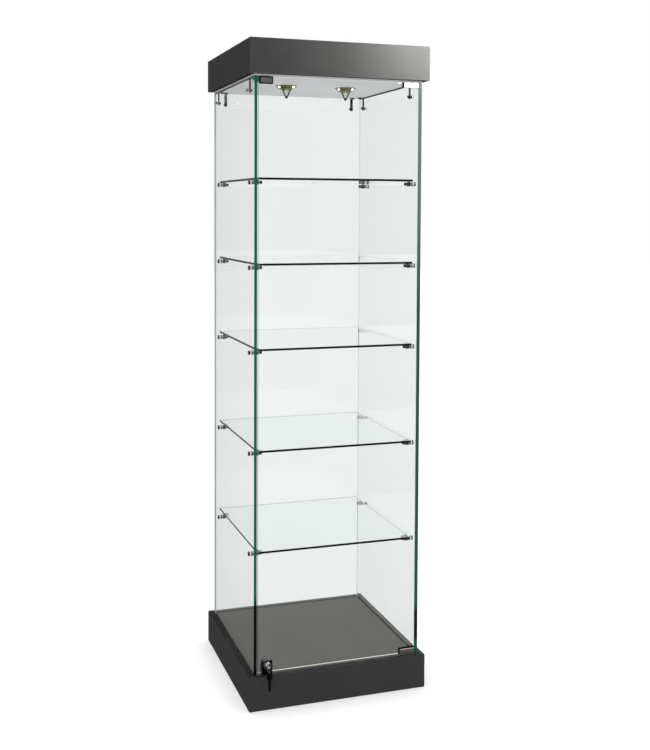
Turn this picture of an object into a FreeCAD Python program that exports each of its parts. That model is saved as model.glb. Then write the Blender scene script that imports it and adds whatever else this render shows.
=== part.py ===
import FreeCAD, Part
import os
from types import SimpleNamespace

import Sketcher

# A free-standing glass showcase, in millimetres, +Z up.
# The origin is on the floor under the middle of the plinth.
# The door is on the -Y side, hinged at +X and locked at -X.

cells = {
    # Carcase: mitred boards round the plinth and round the canopy
    "case_width": 520,
    "case_depth": 520,
    "case_height": 1830,
    "board": 16,
    "base_height": 95,
    "canopy_height": 95,
    "ceiling_drop": 4,
    "cleat_height": 20,
    "deck_cleat_width": 32,
    "canopy_cleat_width": 20,
    # Wood screws, and where two of them sit along each cleat
    "screw_radius": 2,
    "screw_head_radius": 4,
    "screw_head_height": 2.6,
    "screw_bite": 10,
    "screw_play": 0.1,
    "screw_spread": 150,
    # Fixed panes, between the rails and the deck, up to the ceiling
    "pane_thickness": 8,
    "pane_play": 0.5,
    "deck_play": 0.5,
    # Door pane, inset between the side panes
    "door_thickness": 6,
    "door_side_gap": 3,
    "door_bottom_gap": 5,
    "door_top_gap": 3,
    # Pivot hinges: clamps in notches at the door's two +X corners
    "clamp_length": 44,
    "clamp_height": 14,
    "clamp_plate": 4,
    "clamp_overhang": 1,
    "notch_length": 26,
    "notch_height": 9,
    "notch_play": 0.3,
    "pivot_inset": 12,
    "pivot_radius": 3,
    "pivot_length": 7,
    "pivot_spigot": 12,
    "pivot_collar_radius": 5,
    "pivot_play": 0.05,
    "thrust_play": 0.2,
    "hinge_bush_radius": 4.5,
    "hinge_bush_length": 8,
    "bush_fit": 0.02,
    "clamp_screw_offset": 8.5,
    "clamp_screw_radius": 1.5,
    "clamp_screw_head_radius": 2.75,
    "clamp_screw_head_height": 1.6,
    "clamp_screw_bite": 5,
    # Shelves: the first shelf's underside, then the spacings above it
    "shelf_thickness": 6,
    "shelf_side_gap": 10.8,
    "shelf_front_gap": 11,
    "shelf_back_gap": 6,
    "shelf_first": 426,
    "shelf_lower_pitch": 280,
    "shelf_upper_pitch": 233.5,
    # Shelf studs through the side panes
    "stud_front_inset": 46,
    "stud_back_inset": 68,
    "stud_shank_radius": 3,
    "stud_collar_radius": 6.5,
    "stud_collar_length": 5.5,
    "stud_neck_radius": 3,
    "stud_neck_length": 2.5,
    "stud_disc_radius": 6.5,
    "stud_disc_length": 8,
    "stud_tail_radius": 2.6,
    "stud_tail_length": 2.5,
    "stud_knob_radius": 4.7,
    "stud_knob_length": 6.5,
    "stud_rest_gap": 0.1,
    "stud_cap_radius": 6.5,
    "stud_cap_length": 4.5,
    "stud_bush_wall": 1.8,
    "cap_bite": 3.5,
    "fit_play": 0.1,
    # Angle brackets that hold the panes to the ceiling
    "bracket_width": 8.5,
    "bracket_thickness": 3,
    "bracket_drop": 41,
    "bracket_foot": 20,
    "bracket_bolt_rise": 7,
    "bracket_bolt_radius": 2.5,
    "bracket_hole_play": 1,
    "bracket_knob_radius": 4,
    "bracket_knob_length": 5,
    "bracket_cap_radius": 5,
    "bracket_cap_length": 5,
    "bracket_screw_inset": 13,
    "bracket_front_inset": 68,
    "bracket_back_inset": 40,
    "bracket_rear_inset": 30.5,
    # Strike plate and touch latch at the door's top corner
    "strike_length": 37.5,
    "strike_height": 20,
    "strike_plate_thickness": 1,
    "strike_inset": 3,
    "strike_play": 0.2,
    "latch_length": 36,
    "latch_depth": 30,
    "latch_height": 14,
    "latch_standoff": 8,
    "latch_bore_depth": 26,
    "latch_screw_offset": 13,
    "latch_screw_bite": 8,
    "plunger_radius": 4,
    "plunger_length": 20,
    "plunger_gap": 0.3,
    "plunger_play": 0.05,
    "spring_radius": 3.4,
    "spring_wire": 0.9,
    "spring_play": 0.1,
    # Lock at the door's bottom corner
    "lock_width": 30,
    "lock_height": 40,
    "lock_depth": 13,
    "lock_inset": 9,
    "lock_rise": -2,
    "lock_axis_rise": 25,
    "lock_boss_radius": 10,
    "lock_boss_length": 6,
    "lock_nose_radius": 5,
    "lock_nose_length": 1,
    "lock_plate_height": 24,
    "lock_plate_thickness": 3,
    "lock_screw_offset": 10.5,
    "lock_screw_drop": 13,
    "lock_screw_bite": 7,
    "lock_glass_play": 2.5,
    "plug_radius": 7.5,
    "plug_proud": 1,
    "plug_play": 0.05,
    "plug_end_play": 0.3,
    "crank_half_throw": 4,
    "crank_pin_radius": 1.3,
    "crank_play": 0.4,
    "bolt_setback": 5,
    "bolt_radius": 3,
    "bolt_thickness": 6.4,
    "bolt_head_half_width": 9.5,
    "bolt_head_height": 10.5,
    "bolt_head_drop": 1,
    "bolt_tip_inset": 0.5,
    "bolt_play": 0.3,
    "strike_bush_wall": 0.7,
    "strike_bush_length": 9,
    "strike_bush_play": 0.5,
    # Keys
    "key_blade_thickness": 2.2,
    "key_blade_width": 8.4,
    "key_blade_length": 9,
    "key_play": 0.2,
    "key_neck_radius": 2.5,
    "key_neck_length": 20,
    "key_bow_radius": 9.5,
    "key_bow_thickness": 2.4,
    "ring_setback": 16,
    "ring_radius": 5.8,
    "ring_wire_radius": 0.8,
    "ring_play": 0.3,
    "spare_head_width": 15,
    "spare_head_height": 27,
    "spare_head_thickness": 2.5,
    "spare_slot_width": 10,
    "spare_slot_height": 5,
    "spare_slot_margin": 2.5,
    "spare_hang_gap": 0.8,
    "spare_blade_width": 8.4,
    "spare_blade_length": 31,
    "spare_turn": -35,
    # Downlights, their transformer and the cord grommet
    "lamp_offset": 91,
    "lamp_forward": 28,
    "lamp_bezel_radius": 30,
    "lamp_bezel_thickness": 3,
    "lamp_aperture_radius": 13,
    "lamp_hole_radius": 27,
    "lamp_cup_radius": 25,
    "lamp_cup_height": 42,
    "lamp_cup_wall": 1.5,
    "lamp_socket_radius": 8,
    "lamp_socket_height": 14,
    "lamp_bulb_radius": 5,
    "lamp_bulb_length": 22,
    "lamp_cone_radius": 15,
    "lamp_cone_tip_radius": 1.5,
    "lamp_cone_height": 28,
    "lamp_cone_wall": 1.5,
    "transformer_length": 108,
    "transformer_width": 46,
    "transformer_height": 30,
    "lead_radius": 2.5,
    "lead_rise": 9,
    "lead_play": 0.2,
    "grommet_offset": 150,
    "grommet_rise": 45.5,
    "grommet_radius": 8,
    "grommet_bore_radius": 5,
    "grommet_lip_radius": 11,
    "grommet_lip": 2,
}

doc = FreeCAD.newDocument("DisplayCase")
sheet = doc.addObject("Spreadsheet::Sheet", "Sizes")
for row, (name, number) in enumerate(cells.items(), start=1):
    sheet.set(f"A{row}", name)
    sheet.set(f"B{row}", str(number))
    sheet.setAlias(f"B{row}", name)
doc.recompute()


# A number worked out from the sheet: its value now, and the expression that keeps it bound.
class Size:
    def __init__(self, value, text):
        self.value = value
        self.text = text

    def __add__(self, other):
        other = sized(other)
        return Size(self.value + other.value, f"({self.text} + {other.text})")

    def __sub__(self, other):
        other = sized(other)
        return Size(self.value - other.value, f"({self.text} - {other.text})")

    def __rsub__(self, other):
        return sized(other) - self

    def __mul__(self, number):
        return Size(self.value * number, f"({self.text} * {number})")

    def __truediv__(self, number):
        return Size(self.value / number, f"({self.text} / {number})")

    def __neg__(self):
        return Size(-self.value, f"(-1 * {self.text})")

    __radd__ = __add__


def sized(number):
    return number if isinstance(number, Size) else Size(number, f"({number})")


s = SimpleNamespace(**{name: Size(float(sheet.get(name)), f"Sizes.{name}") for name in cells})

ways = {
    "+X": FreeCAD.Vector(1, 0, 0),
    "-X": FreeCAD.Vector(-1, 0, 0),
    "+Y": FreeCAD.Vector(0, 1, 0),
    "-Y": FreeCAD.Vector(0, -1, 0),
    "+Z": FreeCAD.Vector(0, 0, 1),
    "-Z": FreeCAD.Vector(0, 0, -1),
}
upright = ways["+Z"]
finished = []


# Document objects

def make(kind, label):
    item = doc.addObject(kind, label)
    item.Label = label
    return item


def bind(item, **properties):
    for name, size in properties.items():
        item.setExpression(name, sized(size).text)
    return item


def place(item, at, turn=None):
    if turn:
        item.Placement = FreeCAD.Placement(FreeCAD.Vector(), turn)
    for axis, size in zip("xyz", at):
        item.setExpression(f"Placement.Base.{axis}", sized(size).text)
    return item


def about_z(degrees):
    return FreeCAD.Rotation(upright, degrees)


def block(corner, opposite, label="block"):
    pairs = [sorted((sized(a), sized(b)), key=lambda size: size.value) for a, b in zip(corner, opposite)]
    item = make("Part::Box", label)
    bind(item, **{side: high - low for side, (low, high) in zip(("Length", "Width", "Height"), pairs)})
    return place(item, [low for low, high in pairs])


def rod(radius, length, at, way, label="rod"):
    item = bind(make("Part::Cylinder", label), Radius=radius, Height=length)
    return place(item, at, FreeCAD.Rotation(upright, ways[way]))


def along(at, way, run):
    moved = list(at)
    axis = "XYZ".index(way[1])
    moved[axis] = at[axis] + run if way[0] == "+" else at[axis] - run
    return moved


def fused(label, items):
    item = make("Part::MultiFuse", label)
    item.Shapes = items
    return item


def group(label, items):
    item = make("Part::Compound", label)
    item.Links = items
    return item


def cut(label, base, tools):
    item = make("Part::Cut", label)
    item.Base = base
    item.Tool = tools[0] if len(tools) == 1 else group(f"{label}_cutters", tools)
    return item


# Coaxial cylinders laid end to end: steps are pairs of a radius and a length.
def turned(label, steps, at, way):
    items = []
    run = sized(0)
    for radius, length in steps:
        items.append(rod(radius, length, along(at, way, run), way))
        run = run + length
    return fused(label, items)


def tube(label, outer, inner, length, at, way):
    return cut(label, rod(outer, length, at, way), [rod(inner, length, at, way)])


# Copies of one master piece, each at a spot: a place and a turn about Z in degrees.
def copies(master, spots):
    items = []
    for at, degrees in spots:
        item = make("App::Link", f"{master.Label}_copy")
        item.LinkedObject = master
        item.LinkTransform = True
        items.append(place(item, at, about_z(degrees)))
    return items


def keep(item):
    finished.append(item)
    return item


# A body's closed outline of straight lines, each corner bound by its two distances from the origin.
def outline(body, role, corners):
    plane = next(item for item in body.Origin.OriginFeatures if item.Role == role)
    sketch = body.newObject("Sketcher::SketchObject", f"{body.Label}_outline")
    sketch.AttachmentSupport = [(plane, "")]
    sketch.MapMode = "FlatFace"
    spots = [FreeCAD.Vector(sized(a).value, sized(b).value, 0) for a, b in corners]
    for start, end in zip(spots, spots[1:] + spots[:1]):
        sketch.addGeometry(Part.LineSegment(start, end))
    count = len(corners)
    for index, corner in enumerate(corners):
        sketch.addConstraint(Sketcher.Constraint("Coincident", index, 2, (index + 1) % count, 1))
        for kind, axis, size in zip(("DistanceX", "DistanceY"), (-2, -1), corner):
            if isinstance(size, Size):
                pin = sketch.addConstraint(Sketcher.Constraint(kind, -1, 1, index, 1, size.value))
                sketch.setExpression(f"Constraints[{pin}]", size.text)
            else:
                sketch.addConstraint(Sketcher.Constraint("PointOnObject", index, 1, axis))
    return sketch


def padded(label, role, corners, length, midplane=False):
    body = make("PartDesign::Body", label)
    sketch = outline(body, role, corners)
    pad = body.newObject("PartDesign::Pad", f"{label}_pad")
    pad.Profile = sketch
    pad.SideType = "Symmetric" if midplane else "One side"
    bind(pad, Length=length)
    return body


# A half section in the XZ plane, turned about Z.
def revolved(label, corners):
    body = make("PartDesign::Body", label)
    sketch = outline(body, "XZ_Plane", corners)
    turn = body.newObject("PartDesign::Revolution", f"{label}_turn")
    turn.Profile = sketch
    turn.ReferenceAxis = (sketch, ["V_Axis"])
    turn.Angle = 360
    return body


# Shared planes and levels

half_x = s.case_width / 2
half_y = s.case_depth / 2
glass_x = half_x - s.board - s.pane_play
glass_y = half_y - s.board - s.pane_play
inner_x = glass_x - s.pane_thickness
inner_y = glass_y - s.pane_thickness
canopy_low = s.case_height - s.canopy_height
ceiling = canopy_low - s.ceiling_drop
ceiling_top = ceiling + s.board
deck = s.base_height
pane_foot = deck - s.board

door_left = s.door_side_gap - inner_x
door_right = inner_x - s.door_side_gap
door_front = -glass_y
door_back = door_front + s.door_thickness
door_middle = door_front + s.door_thickness / 2
door_foot = deck + s.door_bottom_gap
door_head = ceiling - s.door_top_gap
pivot_x = door_right - s.pivot_inset

shelf_levels = [
    s.shelf_first,
    s.shelf_first + s.shelf_lower_pitch,
    s.shelf_first + s.shelf_lower_pitch * 2,
    s.shelf_first + s.shelf_lower_pitch * 2 + s.shelf_upper_pitch,
    s.shelf_first + s.shelf_lower_pitch * 2 + s.shelf_upper_pitch * 2,
]


# Boards and cleats: each side is the front one turned about Z

sides = {"front": 0, "right": 90, "back": 180, "left": 270}
outward = {"front": "-Y", "right": "+X", "back": "+Y", "left": "-X"}


# A place on a side, from its middle along the board, inward from its outer face, and up.
def beside(side, across, inward, level):
    return {
        "front": (across, inward - half_y, level),
        "right": (half_x - inward, across, level),
        "back": (-sized(across), half_y - inward, level),
        "left": (inward - half_x, -sized(across), level),
    }[side]


def run_of(side):
    return s.case_width if side in ("front", "back") else s.case_depth


def mitred_board(side, low, height):
    half = run_of(side) / 2
    item = bind(
        make("Part::Wedge", f"{side}_board"),
        Xmin=-half,
        Xmax=half,
        X2min=s.board - half,
        X2max=half - s.board,
        Ymin=0,
        Ymax=s.board,
        Zmin=0,
        Zmax=height,
        Z2min=0,
        Z2max=height,
    )
    return place(item, beside(side, 0, sized(0), low), about_z(sides[side]))


def cleat(side, width, low):
    shortening = s.board + width if side in ("front", "back") else s.board
    half = run_of(side) / 2 - shortening
    item = bind(make("Part::Box", f"{side}_cleat"), Length=half * 2, Width=width, Height=s.cleat_height)
    return place(item, beside(side, -half, s.board, low), about_z(sides[side]))


def cleat_screw_spots(side, width, low):
    level = low + s.cleat_height / 2
    return [beside(side, across, s.board + width, level) for across in (-s.screw_spread, s.screw_spread)]


def cleat_screws(side, width, low):
    steps = [(s.screw_head_radius, s.screw_head_height), (s.screw_radius, width + s.screw_bite)]
    way = outward[side]
    spots = cleat_screw_spots(side, width, low)
    return [turned("cleat_screw", steps, along(at, way, -s.screw_head_height), way) for at in spots]


def cleat_screw_holes(side, width, low):
    radius = s.screw_radius + s.screw_play
    length = width + s.screw_bite + s.screw_play
    return [rod(radius, length, at, outward[side]) for at in cleat_screw_spots(side, width, low)]


# Four boards, their cleats and the screws that hold them. Extra cutters are given by side.
def ring_of_boards(name, board_name, low, height, width, cleat_lows, extra):
    cleats = []
    screws = []
    for side in sides:
        cutters = list(extra.get(side, []))
        for cleat_low in cleat_lows:
            holes = cleat_screw_holes(side, width, cleat_low)
            cutters += holes
            cleats.append(cut(f"{name}_{side}_cleat", cleat(side, width, cleat_low), holes))
            screws += cleat_screws(side, width, cleat_low)
        keep(cut(f"{name}_{side}_{board_name}", mitred_board(side, low, height), cutters))
    keep(group(f"{name}_cleats", cleats))
    keep(group(f"{name}_screws", screws))


# Lock axis and bolt line, which the front rail's strike bush follows

lock_x = door_left + s.lock_inset + s.lock_width / 2
lock_low = door_foot + s.lock_rise
lock_z = lock_low + s.lock_axis_rise
lock_face = door_front - s.lock_depth
boss_face = lock_face - s.lock_boss_length
plug_face = boss_face - s.plug_proud
bolt_y = door_front - s.bolt_setback
bolt_tip = lock_low - s.lock_nose_length + s.bolt_tip_inset
strike_bore = s.bolt_radius + s.strike_bush_play
strike_radius = strike_bore + s.strike_bush_wall
strike_at = (lock_x, bolt_y, deck)

# Plinth

ring_of_boards(
    "base",
    "rail",
    sized(0),
    s.base_height,
    s.deck_cleat_width,
    [pane_foot - s.cleat_height],
    {"front": [rod(strike_radius, s.strike_bush_length, strike_at, "-Z")]},
)
keep(tube("bolt_strike", strike_radius, strike_bore, s.strike_bush_length, strike_at, "-Z"))

pivot_hole = s.pivot_radius + s.bush_fit
deck_half = inner_x - s.deck_play
deck_panel = block((-deck_half, s.board - half_y, pane_foot), (deck_half, inner_y - s.deck_play, deck))
keep(cut("base_deck", deck_panel, [rod(pivot_hole, s.pivot_spigot, (pivot_x, door_middle, deck), "-Z")]))

# Canopy

grommet_at = (s.grommet_offset, half_y, canopy_low + s.grommet_rise)
ring_of_boards(
    "canopy",
    "fascia",
    canopy_low,
    s.canopy_height,
    s.canopy_cleat_width,
    [ceiling_top, s.case_height - s.board - s.cleat_height],
    {"back": [rod(s.grommet_radius, s.board, grommet_at, "-Y")]},
)
panel_x = half_x - s.board
panel_y = half_y - s.board
keep(
    block(
        (-panel_x, -panel_y, s.case_height - s.board),
        (panel_x, panel_y, s.case_height),
        "canopy_top_panel",
    )
)
grommet = turned(
    "grommet_blank",
    [
        (s.grommet_lip_radius, s.grommet_lip),
        (s.grommet_radius, s.board),
        (s.grommet_lip_radius, s.grommet_lip),
    ],
    along(grommet_at, "+Y", s.grommet_lip),
    "-Y",
)
grommet_bore = rod(
    s.grommet_bore_radius,
    s.board + s.grommet_lip * 2,
    along(grommet_at, "+Y", s.grommet_lip),
    "-Y",
)
keep(cut("cord_grommet", grommet, [grommet_bore]))

# Shelves and their studs. A master piece points along +X from a pane's inner face.

for number, level in enumerate(shelf_levels, start=1):
    end_x = inner_x - s.shelf_side_gap
    keep(
        block(
            (-end_x, door_back + s.shelf_front_gap, level),
            (end_x, inner_y - s.shelf_back_gap, level + s.shelf_thickness),
            f"shelf_{number}",
        )
    )

stud_rows = [s.stud_front_inset - glass_y, glass_y - s.stud_back_inset]
stud_drop = s.stud_disc_radius + s.stud_rest_gap


# Spots on the two side panes, one for each row and level.
def pane_spots(rows, levels):
    left = [((-inner_x, row, level), 0) for row in rows for level in levels]
    right = [((inner_x, row, level), 180) for row in rows for level in levels]
    return left, right


def cap_master(label, radius, length, bolt_radius):
    outside = (-s.pane_thickness, sized(0), sized(0))
    bore = rod(bolt_radius + s.fit_play, s.cap_bite + s.fit_play, outside, "-X")
    return cut(label, rod(radius, length, outside, "-X"), [bore])


stud_master = turned(
    "stud_master",
    [
        (s.stud_shank_radius, s.pane_thickness + s.cap_bite),
        (s.stud_collar_radius, s.stud_collar_length),
        (s.stud_neck_radius, s.stud_neck_length),
        (s.stud_disc_radius, s.stud_disc_length),
        (s.stud_tail_radius, s.stud_tail_length),
        (s.stud_knob_radius, s.stud_knob_length),
    ],
    (-s.pane_thickness - s.cap_bite, sized(0), sized(0)),
    "+X",
)
bush_inner = s.stud_shank_radius + s.fit_play
bush_outer = bush_inner + s.stud_bush_wall
bush_foot = (-s.pane_thickness, sized(0), sized(0))
bush_master = tube("bush_master", bush_outer, bush_inner, s.pane_thickness, bush_foot, "+X")
stud_cap_master = cap_master("stud_cap_master", s.stud_cap_radius, s.stud_cap_length, s.stud_shank_radius)
stud_hole_master = rod(bush_outer + s.bush_fit, s.pane_thickness, bush_foot, "+X", "stud_hole_master")

stud_left, stud_right = pane_spots(stud_rows, [level - stud_drop for level in shelf_levels])
keep(group("shelf_studs", copies(stud_master, stud_left + stud_right)))
keep(group("stud_caps", copies(stud_cap_master, stud_left + stud_right)))
keep(group("stud_bushes", copies(bush_master, stud_left + stud_right)))

# Pane brackets. A master hangs from the ceiling at the origin, against a pane, and reaches along +X.

bracket_blank = padded(
    "bracket_blank",
    "XZ_Plane",
    [
        (0, 0),
        (s.bracket_foot, 0),
        (s.bracket_foot, -s.bracket_thickness),
        (s.bracket_thickness, -s.bracket_thickness),
        (s.bracket_thickness, -s.bracket_drop),
        (0, -s.bracket_drop),
    ],
    s.bracket_width,
    midplane=True,
)
bracket_bolt_z = s.bracket_bolt_rise - s.bracket_drop
bracket_master = cut(
    "bracket_master",
    bracket_blank,
    [
        rod(
            s.bracket_bolt_radius + s.fit_play,
            s.bracket_thickness,
            (sized(0), sized(0), bracket_bolt_z),
            "+X",
        ),
        rod(
            s.screw_radius + s.screw_play,
            s.bracket_thickness,
            (s.bracket_screw_inset, sized(0), sized(0)),
            "-Z",
        ),
    ],
)
bracket_bolt_master = turned(
    "bracket_bolt_master",
    [
        (s.bracket_knob_radius, s.bracket_knob_length),
        (s.bracket_bolt_radius, s.bracket_thickness + s.pane_thickness + s.cap_bite),
    ],
    (s.bracket_thickness + s.bracket_knob_length, sized(0), bracket_bolt_z),
    "-X",
)
bracket_cap_master = cap_master(
    "bracket_cap_master", s.bracket_cap_radius, s.bracket_cap_length, s.bracket_bolt_radius
)
bracket_screw_master = turned(
    "bracket_screw_master",
    [
        (s.screw_head_radius, s.screw_head_height),
        (s.screw_radius, s.bracket_thickness + s.screw_bite),
    ],
    (s.bracket_screw_inset, sized(0), -s.bracket_thickness - s.screw_head_height),
    "+Z",
)
bolt_hole_master = rod(
    s.bracket_bolt_radius + s.bracket_hole_play,
    s.pane_thickness,
    (-s.pane_thickness, sized(0), bracket_bolt_z),
    "+X",
    "bolt_hole_master",
)
bracket_pilot_master = rod(
    s.screw_radius + s.screw_play,
    s.screw_bite + s.screw_play,
    (s.bracket_screw_inset, sized(0), sized(0)),
    "+Z",
    "bracket_pilot_master",
)
bracket_rows = [s.bracket_front_inset - glass_y, glass_y - s.bracket_back_inset]
bracket_left, bracket_right = pane_spots(bracket_rows, [ceiling])
bracket_rear_x = inner_x - s.bracket_rear_inset
bracket_rear = [((x, inner_y, ceiling), -90) for x in (-bracket_rear_x, bracket_rear_x)]
bracket_spots = bracket_left + bracket_right + bracket_rear
cap_spots = [((x, y, z + bracket_bolt_z), degrees) for (x, y, z), degrees in bracket_spots]
keep(group("pane_brackets", copies(bracket_master, bracket_spots)))
keep(group("bracket_bolts", copies(bracket_bolt_master, bracket_spots)))
keep(group("bracket_caps", copies(bracket_cap_master, cap_spots)))
keep(group("bracket_screws", copies(bracket_screw_master, bracket_spots)))


# Fixed panes

def drilled_pane(label, corner, opposite, stud_spots, bolt_spots):
    holes = copies(bolt_hole_master, bolt_spots)
    if stud_spots:
        holes += copies(stud_hole_master, stud_spots)
    keep(cut(label, block(corner, opposite), holes))


for name, sign, studs, bolts in (
    ("left_pane", -1, stud_left, bracket_left),
    ("right_pane", 1, stud_right, bracket_right),
):
    drilled_pane(
        name,
        (glass_x * sign, -glass_y, pane_foot),
        (inner_x * sign, glass_y, ceiling),
        studs,
        bolts,
    )
drilled_pane("back_pane", (-inner_x, inner_y, pane_foot), (inner_x, glass_y, ceiling), [], bracket_rear)

# Pivot hinges. Each end of the door has its edge, its facing board and the way into the door.

hinge_ends = {
    "bottom": (door_foot, deck, "+Z"),
    "top": (door_head, ceiling, "-Z"),
}
clamp_left = door_right - s.clamp_length
core_left = door_right - s.notch_length + s.notch_play
hinge_screw_xs = [pivot_x - s.clamp_screw_offset, pivot_x + s.clamp_screw_offset]
core_height = s.clamp_overhang + s.notch_height - s.notch_play
plate_back = door_back + s.clamp_plate
clamp_screw_length = s.clamp_plate + s.clamp_screw_bite
clamp_hole = s.clamp_screw_radius + s.fit_play
hinge_notches = []
back_plates = []
clamp_screws = []
hinge_bushes = []
hinge_pivots = []
for end, (edge, facing, way) in hinge_ends.items():
    into = 1 if way == "+Z" else -1
    outer = edge - s.clamp_overhang * into
    inner = outer + s.clamp_height * into
    screw_z = outer + core_height * (into / 2)
    axis_at = (pivot_x, door_middle, outer)
    notch_end = edge + s.notch_height * into
    hinge_notches.append(
        block((door_right - s.notch_length, door_front, edge), (door_right, door_back, notch_end))
    )
    front_plate = block((clamp_left, door_front - s.clamp_plate, outer), (door_right, door_front, inner))
    core = block((core_left, door_front, outer), (door_right, door_back, outer + core_height * into))
    screw_ends = [(x, plate_back, screw_z) for x in hinge_screw_xs]
    screw_holes = [rod(clamp_hole, clamp_screw_length + s.fit_play, at, "-Y") for at in screw_ends]
    bush_seat = rod(s.hinge_bush_radius + s.bush_fit, s.hinge_bush_length, axis_at, way)
    clamp = fused(f"{end}_clamp_blank", [front_plate, core])
    keep(cut(f"{end}_hinge_clamp", clamp, screw_holes + [bush_seat]))
    plate = block((clamp_left, door_back, outer), (door_right, plate_back, inner))
    back_plates.append(cut(f"{end}_back_plate", plate, screw_holes + [bush_seat]))
    clamp_screws += [
        turned(
            "clamp_screw",
            [
                (s.clamp_screw_head_radius, s.clamp_screw_head_height),
                (s.clamp_screw_radius, clamp_screw_length),
            ],
            along(at, "+Y", s.clamp_screw_head_height),
            "-Y",
        )
        for at in screw_ends
    ]
    hinge_bushes.append(
        tube(
            f"{end}_hinge_bush",
            s.hinge_bush_radius,
            s.pivot_radius + s.pivot_play,
            s.hinge_bush_length,
            axis_at,
            way,
        )
    )
    collar_length = (outer - facing) * into - s.thrust_play
    hinge_pivots.append(
        turned(
            f"{end}_pivot",
            [
                (s.pivot_radius, s.pivot_spigot),
                (s.pivot_collar_radius, collar_length),
                (s.pivot_radius, s.pivot_length),
            ],
            along((pivot_x, door_middle, facing), way, -s.pivot_spigot),
            way,
        )
    )
keep(group("hinge_back_plates", back_plates))
keep(group("hinge_screws", clamp_screws))
keep(group("hinge_bushes", hinge_bushes))
keep(group("hinge_pivots", hinge_pivots))

# Door pane, with the hinge notches and the lock's two screw holes

lock_screw_spots = [
    (lock_x - s.lock_screw_offset, lock_z - s.lock_screw_drop),
    (lock_x + s.lock_screw_offset, lock_z - s.lock_screw_drop),
]
glass_hole = s.clamp_screw_radius + s.lock_glass_play
lock_glass_holes = [
    rod(glass_hole, s.door_thickness, (x, door_front, z), "+Y") for x, z in lock_screw_spots
]
door_blank = block((door_left, door_front, door_foot), (door_right, door_back, door_head))
keep(cut("door_pane", door_blank, hinge_notches + lock_glass_holes))

# Strike plate, a channel over the door's top edge, and the touch latch behind it

channel_in = s.door_thickness / 2 + s.strike_play
channel_out = channel_in + s.strike_plate_thickness
channel_top = s.strike_play + s.strike_plate_thickness
channel_low = channel_top - s.strike_height
strike = padded(
    "strike_plate",
    "YZ_Plane",
    [
        (-channel_out, channel_low),
        (-channel_out, channel_top),
        (channel_out, channel_top),
        (channel_out, channel_low),
        (channel_in, channel_low),
        (channel_in, s.strike_play),
        (-channel_in, s.strike_play),
        (-channel_in, channel_low),
    ],
    s.strike_length,
)
keep(place(strike, (door_left + s.strike_inset, door_middle, door_head)))

latch_x = door_left + s.strike_inset + s.strike_length / 2
latch_front = door_back + s.latch_standoff
latch_back = latch_front + s.latch_depth
latch_low = ceiling - s.latch_height
plunger_z = ceiling - s.latch_height / 2
plunger_tip = door_middle + channel_out + s.plunger_gap
plunger_end = plunger_tip + s.plunger_length
bore_end = latch_front + s.latch_bore_depth
latch_middle = latch_front + s.latch_depth / 2
latch_hole = s.clamp_screw_radius + s.fit_play
latch_screw_xs = [latch_x - s.latch_screw_offset, latch_x + s.latch_screw_offset]
latch_block = block(
    (latch_x - s.latch_length / 2, latch_front, latch_low),
    (latch_x + s.latch_length / 2, latch_back, ceiling),
)
latch_bore = rod(
    s.plunger_radius + s.plunger_play, s.latch_bore_depth, (latch_x, latch_front, plunger_z), "+Y"
)
latch_pilots = [
    rod(
        latch_hole,
        s.latch_height + s.latch_screw_bite + s.fit_play,
        (x, latch_middle, latch_low),
        "+Z",
    )
    for x in latch_screw_xs
]
keep(cut("latch_body", latch_block, [latch_bore] + latch_pilots))
keep(rod(s.plunger_radius, s.plunger_length, (latch_x, plunger_tip, plunger_z), "+Y", "latch_plunger"))
keep(
    tube(
        "latch_spring",
        s.spring_radius,
        s.spring_radius - s.spring_wire,
        bore_end - plunger_end - s.spring_play * 2,
        (latch_x, plunger_end + s.spring_play, plunger_z),
        "+Y",
    )
)
latch_screw_steps = [
    (s.clamp_screw_head_radius, s.clamp_screw_head_height),
    (s.clamp_screw_radius, s.latch_height + s.latch_screw_bite),
]
latch_screw_foot = latch_low - s.clamp_screw_head_height
keep(
    group(
        "latch_screws",
        [
            turned("latch_screw", latch_screw_steps, (x, latch_middle, latch_screw_foot), "+Z")
            for x in latch_screw_xs
        ],
    )
)

# Downlights. A master hangs at the origin, with the ceiling's underside at z = 0.

lamp_spots = [((x, -s.lamp_forward, ceiling), 0) for x in (-s.lamp_offset, s.lamp_offset)]
bezel_master = revolved(
    "bezel_master",
    [
        (s.lamp_aperture_radius, 0),
        (s.lamp_bezel_radius, 0),
        (s.lamp_bezel_radius, -s.lamp_bezel_thickness / 2),
        (s.lamp_cup_radius, -s.lamp_bezel_thickness),
        (s.lamp_aperture_radius, -s.lamp_bezel_thickness),
    ],
)
cup_inside = s.lamp_cup_radius - s.lamp_cup_wall
cup_roof = s.lamp_cup_height - s.lamp_cup_wall
cup_blank = revolved(
    "cup_blank",
    [
        (cup_inside, 0),
        (s.lamp_cup_radius, 0),
        (s.lamp_cup_radius, s.lamp_cup_height),
        (0, s.lamp_cup_height),
        (0, cup_roof),
        (cup_inside, cup_roof),
    ],
)
cone_low = -s.lamp_bezel_thickness - s.lamp_cone_height
cone_floor = cone_low + s.lamp_cone_wall * 2
cone_master = revolved(
    "cone_master",
    [
        (s.lamp_cone_radius - s.lamp_cone_wall, -s.lamp_bezel_thickness),
        (s.lamp_cone_radius, -s.lamp_bezel_thickness),
        (s.lamp_cone_tip_radius, cone_low),
        (0, cone_low),
        (0, cone_floor),
    ],
)
socket_foot = (sized(0), sized(0), cup_roof)
bulb_top = (sized(0), sized(0), cup_roof - s.lamp_socket_height)
socket_master = rod(s.lamp_socket_radius, s.lamp_socket_height, socket_foot, "-Z", "socket_master")
bulb_master = rod(s.lamp_bulb_radius, s.lamp_bulb_length, bulb_top, "-Z", "bulb_master")

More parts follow.
